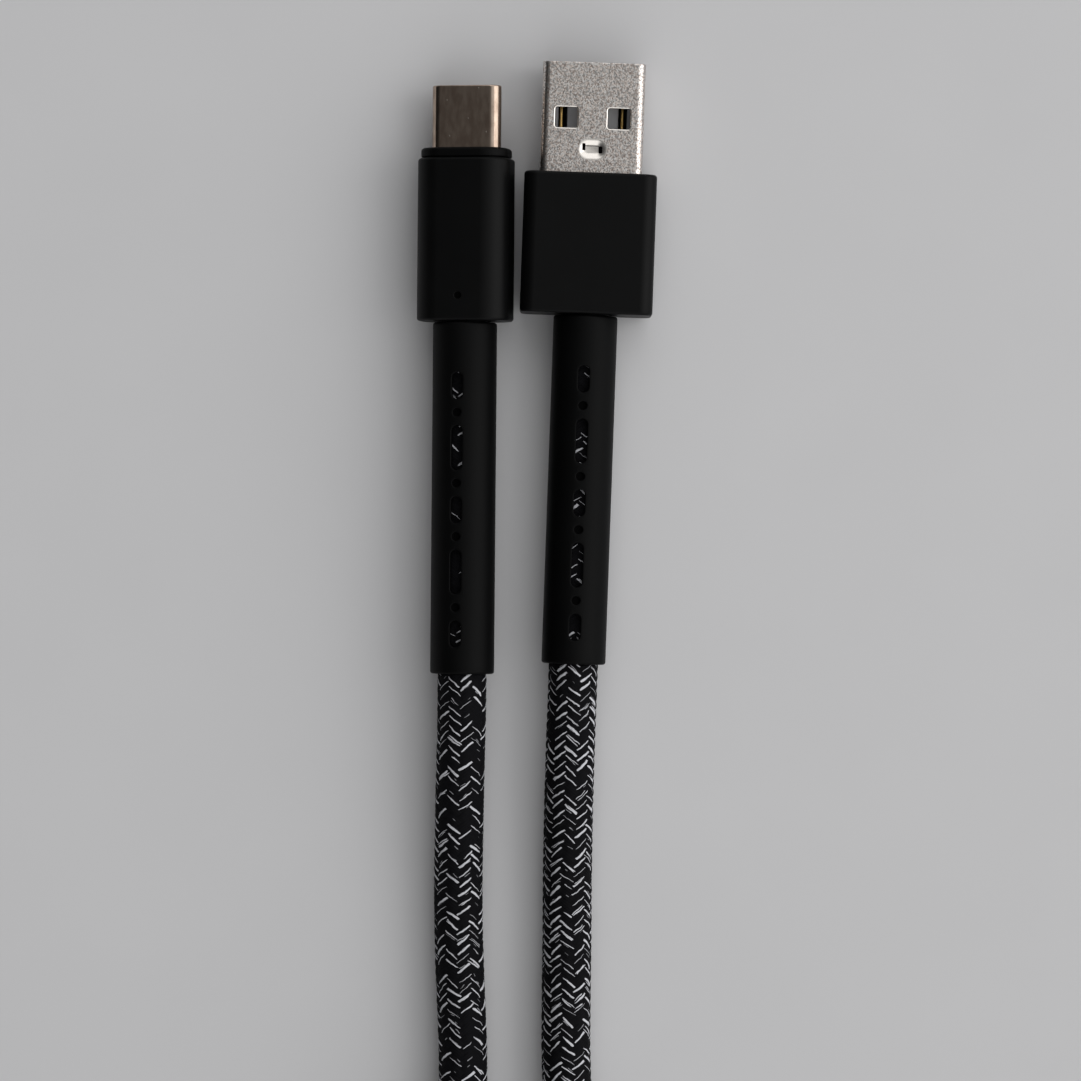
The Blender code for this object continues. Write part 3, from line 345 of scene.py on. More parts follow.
def hank_line(points_per_loop=360):
    """Close points on the loops with a straight end each side, how the ends point, the waist's middle."""
    before, angle, drop = entry_turns()
    count = math.ceil((LOOPS + 2 * before) * points_per_loop)
    loops = [hank_point(-before + (LOOPS + 2 * before) * i / count) for i in range(count + 1)]
    out = Vector((-math.sin(angle), math.cos(angle), 0))
    ends = [out, Vector((-out.x, out.y, 0))]
    line = [loops[0] + CORD_DIAMETER * ends[0]] + loops + [loops[-1] + CORD_DIAMETER * ends[1]]
    middle = Vector((HANK_X, HANK_ENTRY_Y - drop - LOBES_APART / 2, 0))
    return [middle + p for p in line], ends, middle


def free_line(plug, mouth, route, hank_end, outward, side):
    """Close points on the cord from a sleeve's mouth to the hank."""
    away = -(plug.to_3x3() @ Vector((0, 1, 0)))
    start = plug @ Vector((0, mouth, 0))
    low = CORD_RADIUS + TABLE_FIT
    points = [start, start + CORD_FIT * away, start + (CORD_FIT + MOUTH_STRAIGHT) * away]
    for x, y in route:
        fallen = ease((points[2].y - y * MM) / FALL_OVER)
        if fallen > 0:
            points.append(Vector((x * MM, y * MM, low + (start.z - low) * (1 - fallen))))
    centre = Vector((HANK_X + side * (HANK_ENTRY_OFFSET + ENTRY_RADIUS), HANK_ENTRY_Y, low))
    sweep = math.asin(abs(outward.x))
    for i in range(1, ENTRY_POINTS + 1):
        angle = sweep * i / ENTRY_POINTS
        points.append(centre + ENTRY_RADIUS * Vector((-side * math.cos(angle), -math.sin(angle), 0)))
    return smooth_curve(points, away, -outward) + [hank_end]


class Line:
    """The cord's centreline by distance along it: 0 at the USB-A sleeve's mouth, `free` at the other's."""

    def __init__(self, a_plug, a_mouth, c_plug, c_mouth):
        loops, ends, self.tie_middle = hank_line()
        a_part = free_line(a_plug, a_mouth, A_ROUTE, loops[0], ends[0], 1)
        c_part = free_line(c_plug, c_mouth, C_ROUTE, loops[-1], ends[1], -1)[::-1]
        a_inside = a_plug @ Vector((0, a_mouth + A_SLEEVE_LENGTH, 0))
        c_inside = c_plug @ Vector((0, c_mouth + C_SLEEVE_LENGTH, 0))
        points = np.array([a_inside] + a_part + loops[1:-1] + c_part + [c_inside])
        steps = np.linalg.norm(np.diff(points, axis=0), axis=1)
        keep = np.append(True, steps > 1e-7)
        self.points = points[keep]
        self.at = np.append(0.0, np.cumsum(steps[keep[1:]])) - A_SLEEVE_LENGTH
        self.free = self.at[-1] - C_SLEEVE_LENGTH
        self.hank_from = length_of(a_part)
        self.hank_to = self.free - length_of(c_part)

    def place(self, distance):
        """Where the centreline is at these distances, its direction, its upward side and its other side."""
        reach = 0.5 * CORD_RADIUS

        def point(s):
            return np.stack([np.interp(s, self.at, self.points[:, i]) for i in range(3)], axis=-1)

        middle = (point(distance - reach / 2) + point(distance + reach / 2)) / 2
        low, high = self.at[0], self.at[-1]
        ends = (distance - reach < low) | (distance + reach > high)
        middle = np.where(ends[:, None], point(distance), middle)
        ahead = point(np.minimum(distance + reach, high)) - point(np.maximum(distance - reach, low))
        ahead /= np.linalg.norm(ahead, axis=1)[:, None]
        up = np.array([0.0, 0.0, 1.0]) - ahead * ahead[:, 2:3]
        up /= np.linalg.norm(up, axis=1)[:, None]
        return middle, ahead, up, np.cross(ahead, up)

    def phase(self, distance):
        """The braid's turn round the cord at these distances, which eases from one end's to the other's."""
        share = np.clip(distance / self.free, 0, 1)
        turned = PHASE_AT_A + (PHASE_AT_C - PHASE_AT_A) * share
        turned += PHASE_INSIDE_A * np.clip(-distance / PHASE_INSIDE_OVER, 0, 1)
        turned += PHASE_INSIDE_C * np.clip((distance - self.free) / PHASE_INSIDE_OVER, 0, 1)
        wander = sum(size * np.sin(distance / length + start) for size, length, start in WANDER)
        return turned + wander * np.clip(distance / WANDER_OVER, 0, 1)


def length_of(points):
    return sum((b - a).length for a, b in zip(points, points[1:]))


# ---- mesh helpers

def in_scene(name, data):
    """A new object with this mesh, lamp or camera."""
    made = bpy.data.objects.new(name, data)
    bpy.context.scene.collection.objects.link(made)
    return made


def piece(name, mesh, replaces, place=None):
    """A visible piece that rides with the part."""
    made = in_scene(name, mesh)
    if place is not None:
        made.matrix_world = place
    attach(made, "root")
    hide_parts(*replaces)
    return made


def build(name, shells, finishes, replaces, place=None, cutters=(), angle=40, crossing=False):
    """A piece of these closed shells, less its cutters."""
    tools = mesh_of("cutters", *cutters) if cutters else None
    mesh = smooth(mesh_of(name, *shells), finishes, tools, angle, crossing)
    return piece(name, mesh, replaces, place)


def shell_of(sections, ring=False):
    """Points and faces through closed outlines with as many points each: capped, or joined into a ring."""
    count = len(sections[0])
    points = [tuple(p) for section in sections for p in section]
    pairs = [(number, number + 1) for number in range(len(sections) - 1)]
    if ring:
        pairs.append((len(sections) - 1, 0))
    faces = []
    for low, high in pairs:
        for i in range(count):
            j = (i + 1) % count
            faces.append((low * count + i, low * count + j, high * count + j, high * count + i))
    if not ring:
        faces.append(tuple(range(count))[::-1])
        faces.append(tuple(range(len(points) - count, len(points))))
    return points, faces


def mesh_of(name, *shells):
    """One mesh of closed shells, with their faces turned outward.

    A shell may name groups of faces: the first for the mesh's second finish, the next for its third.
    """
    points, faces, named = [], [], []
    for some_points, some_faces, *groups in shells:
        named += [(len(faces) + i, number) for number, group in enumerate(groups, 1) for i in group]
        faces += [tuple(len(points) + i for i in face) for face in some_faces]
        points += some_points
    mesh = bpy.data.meshes.new(name)
    mesh.from_pydata(points, [], faces)
    for i, number in named:
        mesh.polygons[i].material_index = number
    shape = bmesh.new()
    shape.from_mesh(mesh)
    bmesh.ops.recalc_face_normals(shape, faces=shape.faces)
    shape.to_mesh(mesh)
    shape.free()
    return mesh


def smooth(mesh, finishes, cutters, angle, crossing):
    """The mesh less its cutters, shaded smooth over edges of up to this many degrees.

    The shading keeps large faces flat. Cutters that run into each other are said to be crossing.
    """
    holder = in_scene("holder", mesh)
    for finish in finishes:
        mesh.materials.append(finish)
    if cutters is not None:
        for finish in finishes:
            cutters.materials.append(finish)
        tool = in_scene("cutters", cutters)
        cut = holder.modifiers.new("cut", "BOOLEAN")
        cut.operation = "DIFFERENCE"
        cut.solver = "EXACT"
        cut.use_self = crossing
        cut.object = tool
        holder.data = baked(holder)
        bpy.data.objects.remove(tool)
    holder.data.shade_smooth()
    holder.data.set_sharp_from_angle(angle=angle * DEGREES)
    even = holder.modifiers.new("even", "WEIGHTED_NORMAL")
    even.keep_sharp = True
    made = baked(holder)
    bpy.data.objects.remove(holder)
    made.name = mesh.name
    return made


def baked(obj):
    """The object's mesh with its modifiers applied."""
    bpy.context.view_layer.update()
    made = bpy.data.meshes.new_from_object(obj.evaluated_get(bpy.context.evaluated_depsgraph_get()))
    obj.modifiers.clear()
    return made


def outline(width, height, corner, steps=8):
    """The points of a rounded rectangle in a plane, anticlockwise from the right side."""
    corner = min(corner, 0.4999 * width, 0.4999 * height)
    points = []
    for number, (sx, sy) in enumerate(((1, 1), (-1, 1), (-1, -1), (1, -1))):
        for i in range(steps + 1):
            angle = math.pi / 2 * (number + i / steps)
            points.append((
                sx * (width / 2 - corner) + corner * math.cos(angle),
                sy * (height / 2 - corner) + corner * math.sin(angle),
            ))
    return points


def block_size(width, height, corner):
    """A function that gives a block's outline, drawn in by what it is given."""
    def size(inset):
        return outline(width - 2 * inset, height - 2 * inset, max(corner - inset, 0.02 * MM))
    return size


def circle(radius, like):
    """Points on a circle in the directions in which an outline's points lie."""
    return [(radius * x / math.hypot(x, y), radius * y / math.hypot(x, y)) for x, y in like]


def across(points, y):
    """An outline set square to the plug's length, at this place along it."""
    return [(x, y, z) for x, z in points]


def edge_round(size, end, inward, radius, steps=5):
    """Outlines that turn from a block's sides to its end, or back when reversed."""
    made = []
    for i in range(steps + 1):
        angle = math.pi / 2 * i / steps
        inset, back = radius * (1 - math.cos(angle)), radius * (1 - math.sin(angle))
        made.append(across(size(inset), end + inward * back))
    return made


def flat_top(height):
    """The surface of a block this high, for its openings."""
    return lambda x, above: height / 2 + above


def opening(width, length, corner, x, y, side, surface, floor, flare, bowl=0.0):
    """A cutter for an opening in the top (side 1) or the underside (side -1), with its edge rounded over.

    surface(x, above) gives how high a face lies at x. The opening goes down to floor below that
    face's height 0, and narrows towards it by bowl.
    """
    levels = [(0.0, bowl - floor)]
    if bowl:
        levels = [(-bowl, -floor), (-0.3 * bowl, 0.4 * bowl - floor)] + levels
    walls = len(levels)
    for degrees in (0, 18, 36, 54, 72):
        angle = degrees * DEGREES
        levels.append((flare * (1 - math.cos(angle)), flare * (math.sin(angle) - 1)))
    grow, height = levels[-1]
    levels.append((grow + 3 * flare, height + 3 * flare * math.tan(18 * DEGREES)))
    sections = []
    for grow, height in levels:
        ring = outline(width + 2 * grow, length + 2 * grow, corner + grow, 5)
        sections.append([(x + px, y + py, side * surface(x + px, height)) for px, py in ring])
    points, faces = shell_of(sections)
    # the walls and the floor are the faces named for a second finish; the sleeves and the USB-C housing give
    # them painted shade
    return points, faces, [*range(walls * len(sections[0])), len(faces) - 2]


# ---- finishes

class Value:
    """What a node works out. Arithmetic with it adds the nodes that go on from there."""

    def __init__(self, nodes, socket):
        self.nodes = nodes
        self.socket = socket

    def worked(self, operation, *others):
        return self.nodes.maths(operation, self, *others)

    def __rsub__(self, other):
        return self.nodes.maths("SUBTRACT", other, self)


for sign, operation in (
    ("add", "ADD"), ("sub", "SUBTRACT"), ("mul", "MULTIPLY"), ("truediv", "DIVIDE"), ("abs", "ABSOLUTE"),
    ("mod", "FLOORED_MODULO"), ("floor", "FLOOR"), ("lt", "LESS_THAN"), ("gt", "GREATER_THAN"),
):
    setattr(Value, f"__{sign}__", functools.partialmethod(Value.worked, operation))


class Nodes:
    """A tree whose nodes are added one by one."""

    def __init__(self, tree):
        self.tree = tree

    def give(self, socket, value):
        """Links an input to a value, or sets it to a plain one."""
        if isinstance(value, Value):
            self.tree.links.new(value.socket, socket)
        else:
            socket.default_value = value

    def node(self, kind, *values, output=0, **settings):
        """Adds a node, with values for its inputs in order, and gives what comes out of it."""
        made = self.tree.nodes.new(kind)
        for key, value in settings.items():
            setattr(made, key, value)
        for socket, value in zip(made.inputs, values):
            if value is not None:
                self.give(socket, value)
        return Value(self, made.outputs[output])

    def maths(self, operation, *values):
        return self.node("ShaderNodeMath", *values, operation=operation)

    def pick(self, share, low, high):
        """Goes from low to high as share goes from 0 to 1."""
        return self.maths("MULTIPLY_ADD", share, high - low, low)

    def step(self, value, start, end, low=0.0, high=1.0):
        """Goes smoothly from low, at start, to high, at end."""
        return self.node(
            "ShaderNodeMapRange", value, start, end, low, high, interpolation_type="SMOOTHSTEP"
        )

    def parts(self, value, kind="XYZ"):
        """A vector's three parts, or a colour's."""
        made = self.tree.nodes.new("ShaderNodeSeparate" + kind)
        self.give(made.inputs[0], value)
        return [Value(self, socket) for socket in made.outputs]

    def ramp(self, share, *stops):
        """The colour goes through these stops: at what share, and the colour there."""
        made = self.tree.nodes.new("ShaderNodeValToRGB")
        elements = made.color_ramp.elements
        for at, _ in stops[1:-1]:
            elements.new(at)
        for element, (_, colour) in zip(elements, stops):
            element.color = (*colour, 1.0)
        self.give(made.inputs[0], share)
        return Value(self, made.outputs[0])

    def tint(self, share, low, high):
        return self.ramp(share, (0.0, low), (1.0, high))

    def mix(self, share, low, high):
        """Goes from one colour to another as share goes from 0 to 1."""
        unused = [None] * 5
        return self.node("ShaderNodeMix", share, *unused, low, high, data_type="RGBA", output=2)

    def place(self, stretch=(1.0, 1.0, 1.0)):
        """The place on the object in millimetres, closer together along each axis by these factors."""
        made = self.tree.nodes.new("ShaderNodeMapping")
        made.inputs["Scale"].default_value = [s / MM for s in stretch]
        self.give(made.inputs["Vector"], self.node("ShaderNodeTexCoord", output=3))
        return Value(self, made.outputs["Vector"])

    def noise(self, per_mm, detail=2.0, where=None, output=0):
        where = self.place() if where is None else where
        return self.node("ShaderNodeTexNoise", where, None, per_mm, detail, output=output)


class Finish(Nodes):
    """A material: its plain values, and the nodes that its colour, roughness and bump come from."""

    def __init__(self, name, colour, roughness, metallic=0.0, specular=0.5):
        self.material = bpy.data.materials.new(name)
        self.material.use_nodes = True
        super().__init__(self.material.node_tree)
        self.inputs = self.tree.nodes["Principled BSDF"].inputs
        self.inputs["Base Color"].default_value = (*colour, 1.0)
        self.inputs["Roughness"].default_value = roughness
        self.inputs["Metallic"].default_value = metallic
        self.inputs["Specular IOR Level"].default_value = specular

    def colours(self, value):
        self.give(self.inputs["Base Color"], value)

    def roughness(self, share, low, high):
        self.give(self.inputs["Roughness"], self.pick(share, low, high))

    def bump(self, height, distance, strength=1.0):
        """Raises the surface by up to this distance, in metres, on top of what raises it already."""
        made = self.tree.nodes.new("ShaderNodeBump")
        made.inputs["Strength"].default_value = strength
        made.inputs["Distance"].default_value = distance
        self.give(made.inputs["Height"], height)
        normal = self.inputs["Normal"]
        if normal.links:
            self.tree.links.new(normal.links[0].from_socket, made.inputs["Normal"])
        self.tree.links.new(made.outputs[0], normal)


def scaled(colour, factor):
    return tuple(min(1.0, factor * c) for c in colour)


def plain_finish(name, colour, roughness, metallic=0.0, grain=6.0, depth=0.004, spread=0.25):
    """A moulded, plated or rolled surface: a fine grain, and slow changes in its colour and roughness."""
    made = Finish(name, colour, roughness, metallic)
    made.colours(made.tint(made.noise(0.35, 3.0), scaled(colour, 1 - spread), scaled(colour, 1 + spread)))
    fine = made.noise(grain, 3.0)
    made.roughness(fine, roughness - 0.08, roughness + 0.08)
    made.bump(fine, depth * MM)
    return made.material


def moulded(name, colour, roughness, grain, depth, specular):
    """A black moulding with the fine matte texture of its tool, and faint handling marks."""
    made = Finish(name, colour, roughness, specular=specular)
    slow, fine = made.noise(0.16, 4.0), made.noise(grain, 2.0)
    made.colours(made.tint(slow, scaled(colour, 0.75), scaled(colour, 1.3)))
    made.roughness(slow * 0.5 + fine * 0.5, roughness - 0.10, roughness + 0.12)
    made.bump(fine, depth * MM)
    made.bump(made.noise(0.25, 2.0), 0.02 * MM)
    return made.material


def satin_nickel():
    """Nickel plate over grainy steel: fine sparkling grains, longer the way that the sheet was rolled."""
    made = Finish("satin_nickel", (0.60, 0.555, 0.52), 0.32, 1.0)
    drawn = made.place((1.15, 0.85, 1.0))
    grains = made.noise(5.6, 1.5, drawn) * 0.6 + made.noise(12.0, 1.0, drawn) * 0.4
    share = made.step(grains, 0.38, 0.62)
    grey = made.tint(share, (0.27, 0.26, 0.25), (0.97, 0.94, 0.91))
    warm = made.tint(share, (0.30, 0.245, 0.22), (0.98, 0.89, 0.82))
    made.colours(made.mix(made.step(made.noise(3.1, 1.0), 0.4, 0.6), grey, warm))
    made.roughness(share, 0.36, 0.24)
    made.bump(grains, 0.010 * MM)
    return made.material


def polished_nickel():
    """Dark nickel plate with a faint cloudiness along the draw, and a few tiny bright specks."""
    made = Finish("dark_nickel", (0.42, 0.33, 0.265), 0.14, 1.0)
    clouds = made.step(made.noise(1.1, 4.0, made.place((1.4, 0.5, 1.0))), 0.3, 0.7)
    worn = made.tint(clouds, (0.35, 0.265, 0.21), (0.50, 0.40, 0.325))
    spots = made.node("ShaderNodeTexVoronoi", made.place(), None, 0.33, voronoi_dimensions="2D")
    specks = made.step(spots, 0.01, 0.026, 0.85, 0.0)
    made.colours(made.mix(specks, worn, (0.95, 0.90, 0.82, 1.0)))
    made.roughness(clouds, 0.17, 0.10)
    made.bump(made.noise(5.0, 3.0), 0.0012 * MM)
    made.bump(specks, 0.01 * MM)
    return made.material


def loop_fabric():
    """Brushed nylon loops: short fibres that lie every way."""
    made = Finish("loop_fabric", (0.014, 0.014, 0.016), 0.85, specular=0.2)
    bent = made.noise(1.2, 2.0, output=1)
    warped = made.node("ShaderNodeVectorMath", made.place(), bent, operation="ADD")
    hairs = made.node("ShaderNodeTexVoronoi", warped, None, 3.0, feature="DISTANCE_TO_EDGE")
    fuzz = made.noise(8.0, 4.0)
    made.colours(made.tint(fuzz * 0.6 + hairs, (0.005, 0.005, 0.006), (0.035, 0.035, 0.038)))
    made.bump(fuzz * 0.5 + made.maths("MINIMUM", hairs, 0.4), 0.16 * MM)
    return made.material


def braid_finish(free):
    """Black and white yarns, laid by the same rule as the braid's relief: two over, two under.

    Free is the free length in leads. Fewer white yarns show near the USB-C end, and fewer yet inside
    the sleeves, which is painted shade for the braid seen through their slots.
    """
    made = Finish("braid", (0.012, 0.012, 0.013), 0.7, specular=0.08)
    maths, pick, step = made.maths, made.pick, made.step
    u, v, _ = made.parts(made.node("ShaderNodeUVMap", uv_map="braid"))
    a, b = (u - v) * CARRIERS, (u + v) * CARRIERS
    i, j = math.floor(a), math.floor(b)
    k = (i + j) % 4.0
    leans_back = k > 1.5
    within_a, within_b = a - i, b - j
    across = pick(leans_back, within_a, within_b)
    along = pick(leans_back, (within_b + k) * 0.5, (within_a + k - 2.0) * 0.5)
    carrier = pick(leans_back, i % float(CARRIERS), j % float(CARRIERS) + 20.0)
    number = pick(leans_back, j - k - i, i - k + 2.0 - j)
    inside = (v < 0.0) + (v > free)
    near_c = step(v, *(free - leads for leads in FEWER_AT_C_OVER))
    # inside the sleeves fewer white yarns show: painted shade
    common = 1.0 - near_c * FEWER_AT_C - inside * PAINTED_SHADE_INSIDE
    middle = along - 0.5
    wander = made.noise(1.3, 1.0)

    def chance(shift, output=0):
        """A number from 0 to 1 for each float of each tow, or three of them as a colour."""
        where = made.node("ShaderNodeCombineXYZ", carrier + shift, number)
        return made.node("ShaderNodeTexWhiteNoise", where, output=output, noise_dimensions="2D")

    def stroke(shift, share, widths, spread, reaches):
        """One white yarn where it shows on a float: a stroke with blunt ends."""
        aside, lean, thick = made.parts(chance(shift, 1), "Color")
        far, moved, taper = made.parts(chance(shift + 57.0, 1), "Color")
        centre = pick(aside, 0.5 - spread, 0.5 + spread) + middle * ((lean - 0.5) * 0.5)
        centre += (wander - 0.5) * 0.3
        reached = (middle - (moved - 0.5) * 0.12) / pick(far, *reaches)
        body = maths("SQRT", maths("MAXIMUM", 1.0 - maths("POWER", abs(reached), 6.0), 0.0))
        width = pick(thick, *widths) * (reached * ((taper - 0.5) * 0.8) + 1.0) * body
        within = step((width - abs(across - centre)) / 0.05, 0.0, 1.0)
        return within * (chance(shift + 91.0) < common * share)

    first, second, faint = (stroke(*yarn) for yarn in WHITE_YARNS)
    white = maths("MAXIMUM", maths("MAXIMUM", first, second), faint * 0.5)
    threads = made.node("ShaderNodeCombineXYZ", across * 14.0, along * 2.5, number)
    fibres = made.noise(1.0, 2.0, threads)
    black = made.tint(fibres, (0.0010, 0.0010, 0.0013), (0.006, 0.006, 0.0075))
    bright = made.tint(fibres, (0.31, 0.315, 0.345), (0.82, 0.825, 0.86))
    made.colours(made.mix(white, black, bright))
    made.roughness(white, 0.78, 0.5)
    made.bump(abs(maths("SINE", across * (3 * math.pi))) + white * 0.8, 0.035 * MM, 0.8)
    made.bump(fibres, 0.02 * MM, 0.6)
    return made.material


# ---- the cord

def braid_height(u, v):
    """How far the braid stands out at these places, from 0 in its hollows to 1 on the crown of a tow."""
    a, b = CARRIERS * (u - v), CARRIERS * (u + v)
    i, j = np.floor(a), np.floor(b)
    k = np.mod(i + j, 4)
    forward = k < 2
    across = np.where(forward, a - i, b - j)
    along = np.where(forward, (b - j + k) / 2, (a - i + k - 2) / 2)
    crown = np.sqrt(np.clip(1 - 0.92 * (2 * along - 1) ** 2, 0, 1))
    flank = 1 - 0.45 * np.abs(2 * across - 1) ** 3
    return crown * flank


def braided(name, line, start, end, round_steps, along_step, finish, plain=None):
    """A closed tube of braid between two distances along the line, and its ring centres.

    Where plain(distance) holds it is a smooth core that lies inside a finer piece.
    """
    count = max(2, round((end - start) / along_step))
    distance = np.linspace(start, end, count + 1)
    if plain is not None:
        number = np.arange(count + 1)
        distance = distance[~plain(distance) | (number % 4 == 0) | (number == count)]
    rows = len(distance)
    middle, _, up, side = line.place(distance)
    theta = np.linspace(-np.pi, np.pi, round_steps + 1)
    u = theta[None, :] / (2 * np.pi) + line.phase(distance)[:, None]
    v = np.repeat((distance / LEAD)[:, None], round_steps + 1, axis=1)
    reach = CORD_RADIUS - TOW_RELIEF * (1 - braid_height(u, v))
    if plain is not None:
        reach = np.where(plain(distance)[:, None], CORE_RADIUS, reach)
    outward = np.cos(theta)[None, :, None] * up[:, None, :] + np.sin(theta)[None, :, None] * side[:, None, :]
    points = (middle[:, None, :] + reach[..., None] * outward)[:, :-1].reshape(-1, 3)
    row, column = np.meshgrid(np.arange(rows - 1), np.arange(round_steps), indexing="ij")
    low, high, after = row * round_steps, (row + 1) * round_steps, (column + 1) % round_steps
    quads = np.stack([low + column, low + after, high + after, high + column], axis=-1).reshape(-1, 4)
    ends = [list(range(round_steps))[::-1], list(range((rows - 1) * round_steps, rows * round_steps))]
    uv = np.stack([u, v], axis=-1)
    corners = [uv[row, column], uv[row, column + 1], uv[row + 1, column + 1], uv[row + 1, column]]
    corners = np.stack(corners, axis=2).reshape(-1, 2)
    mesh = bpy.data.meshes.new(name)
    mesh.from_pydata(points.tolist(), [], quads.tolist() + ends)
    layer = mesh.uv_layers.new(name="braid")
    layer.uv.foreach_set(
        "vector", np.concatenate([corners, uv[0, :-1][::-1], uv[-1, :-1]]).astype(np.float32).ravel()
    )
    mesh.shade_smooth()
    mesh.materials.append(finish)
    return mesh, middle


def make_cord(line, finish):
    """The cord's core and hank, the finer braid that the camera sees, and the braid inside the sleeves."""
    def in_a_run(distance):
        return (distance < line.hank_from) | (distance > line.hank_to)

    mesh, centres = braided("cord", line, 0, line.free, HANK_STEPS, HANK_STEP, finish, in_a_run)
    cord = piece("cord", mesh, ["cord_hank"])
    fine = []
    for name, start, end, node in (
        ("cord_braid_a", 0, line.hank_from + BRAID_LAP, "cord_run_a"),
        ("cord_braid_c", line.hank_to - BRAID_LAP, line.free, "cord_run_c"),
        ("sleeve_braid_a", SLEEVE_SHOULDER + CORD_FIT - A_SLEEVE_LENGTH, 0, "usb_a_braid_end"),
        (
            "sleeve_braid_c", line.free, line.free + C_SLEEVE_LENGTH - SLEEVE_SHOULDER - CORD_FIT,
            "usb_c_braid_end",
        ),
    ):
        mesh, _ = braided(name, line, start, end, FINE_STEPS, FINE_STEP, finish)
        fine.append(piece(name, mesh, [node]))
    return cord, fine[:2], centres


# ---- plugs

def sleeve(prefix, plug, housing_rear, length, finishes):
    """The slotted tube: a turned body, with soft-edged slots and dots above and beneath."""
    front = housing_rear - FIT
    mouth = front - length
    shoulder = front - SLEEVE_SHOULDER
    head_rear = housing_rear + END_WALL + FIT
    head_front = head_rear + SLEEVE_HEAD_LENGTH
    head, neck, outer = SLEEVE_HEAD_DIAMETER / 2, SLEEVE_NECK_DIAMETER / 2, SLEEVE_DIAMETER / 2
    bore = CORD_RADIUS + CORD_FIT
    tight = JACKET_DIAMETER / 2 + FIT
    rows = round(length / SLEEVE_ROW)
    # the rim's outward and lengthwise drops as it turns through a right angle
    turn = [(1 - math.sin(math.pi * i / 10), 1 - math.cos(math.pi * i / 10)) for i in range(6)]
    rim, lip = SLEEVE_RIM, SLEEVE_LIP
    profile = [(tight, head_front), (head, head_front), (head, head_rear), (neck, head_rear), (neck, front)]
    profile += [(outer - rim * out, front - rim * back) for out, back in turn]
    profile += [(outer, front - rim - (length - 2 * rim) * i / rows) for i in range(1, rows)]
    profile += [(outer - rim * back, mouth + rim * out) for out, back in turn]
    profile += [(bore + lip * out, mouth + lip * back) for out, back in turn]
    profile += [(bore, shoulder), (tight, shoulder)]
    ring = [2 * math.pi * i / SLEEVE_SIDES for i in range(SLEEVE_SIDES)]
    body = shell_of([[(r * math.cos(a), y, r * math.sin(a)) for a in ring] for r, y in profile], ring=True)

    def surface(x, above):
        return math.sqrt((outer + above) ** 2 - x ** 2)

    cutters = []
    start = FIRST_SLOT
    for slot in SLOT_PATTERN:
        holes = [(SLOT_WIDTH, slot, start + slot / 2, outer - 0.9 * bore, 0.0)]
        start += slot + SLOT_TO_DOT
        holes.append((SLEEVE_DOT, SLEEVE_DOT, start, SLEEVE_DOT_DEPTH, SLEEVE_DOT_BOWL))
        start += SLOT_TO_DOT
        for width, long, from_front, depth, bowl in holes:
            for side in (1, -1):
                cutters.append(opening(
                    width, long, width / 2, 0, front - from_front, side, surface, depth, SLOT_EDGE, bowl
                ))
    # the walls and floors of the slots and dots take the second finish, which is painted shade
    both = (finishes["sleeve"], finishes["painted_shade"])
    # no dot follows the last slot
    build(prefix + "_sleeve_body", [body], both, [prefix + "_sleeve"], plug, cutters[:-2])
    return mouth


def housing(prefix, plug, size, front, rear, mouth, cavity, finishes, cutters=()):
    """A moulded box with rounded edges, empty behind its front wall, with a neck hole in its rear."""
    neck = circle(SLEEVE_NECK_DIAMETER / 2 + FIT, size(0))
    inner_rear = rear + END_WALL
    sections = edge_round(size, rear, 1, EDGE_ROUND)[::-1]
    sections += [across(size(0), front + (rear - front) * i / 12) for i in range(11, 0, -1)]
    sections += edge_round(size, front, -1, EDGE_ROUND)
    sections += mouth
    sections += [across(cavity, inner_rear), across(neck, inner_rear), across(neck, rear)]
    build(
        prefix + "_body", [shell_of(sections, ring=True)], finishes, [prefix + "_housing"],
        plug, cutters,
    )


def usb_a_plug(plug, finishes):
    """Makes the USB-A plug and its sleeve, and gives the place of the sleeve's mouth."""
    size = block_size(A_HOUSING_WIDTH, A_HOUSING_HEIGHT, A_HOUSING_ROUND)
    shell = block_size(A_SHELL_WIDTH, A_SHELL_HEIGHT, A_SHELL_BEND)
    gap, lip, cavity = shell(-FIT), shell(-2 * FIT), size(HOUSING_WALL)
    mouth = [across(lip, 0), across(gap, -FIT), across(gap, -END_WALL), across(cavity, -END_WALL)]
    housing("usb_a", plug, size, 0, -A_HOUSING_LENGTH, mouth, cavity, [finishes["housing"]])
    usb_a_shell(plug, finishes)
    usb_a_contacts(plug, finishes)
    return sleeve("usb_a", plug, -A_HOUSING_LENGTH, A_SLEEVE_LENGTH, finishes)


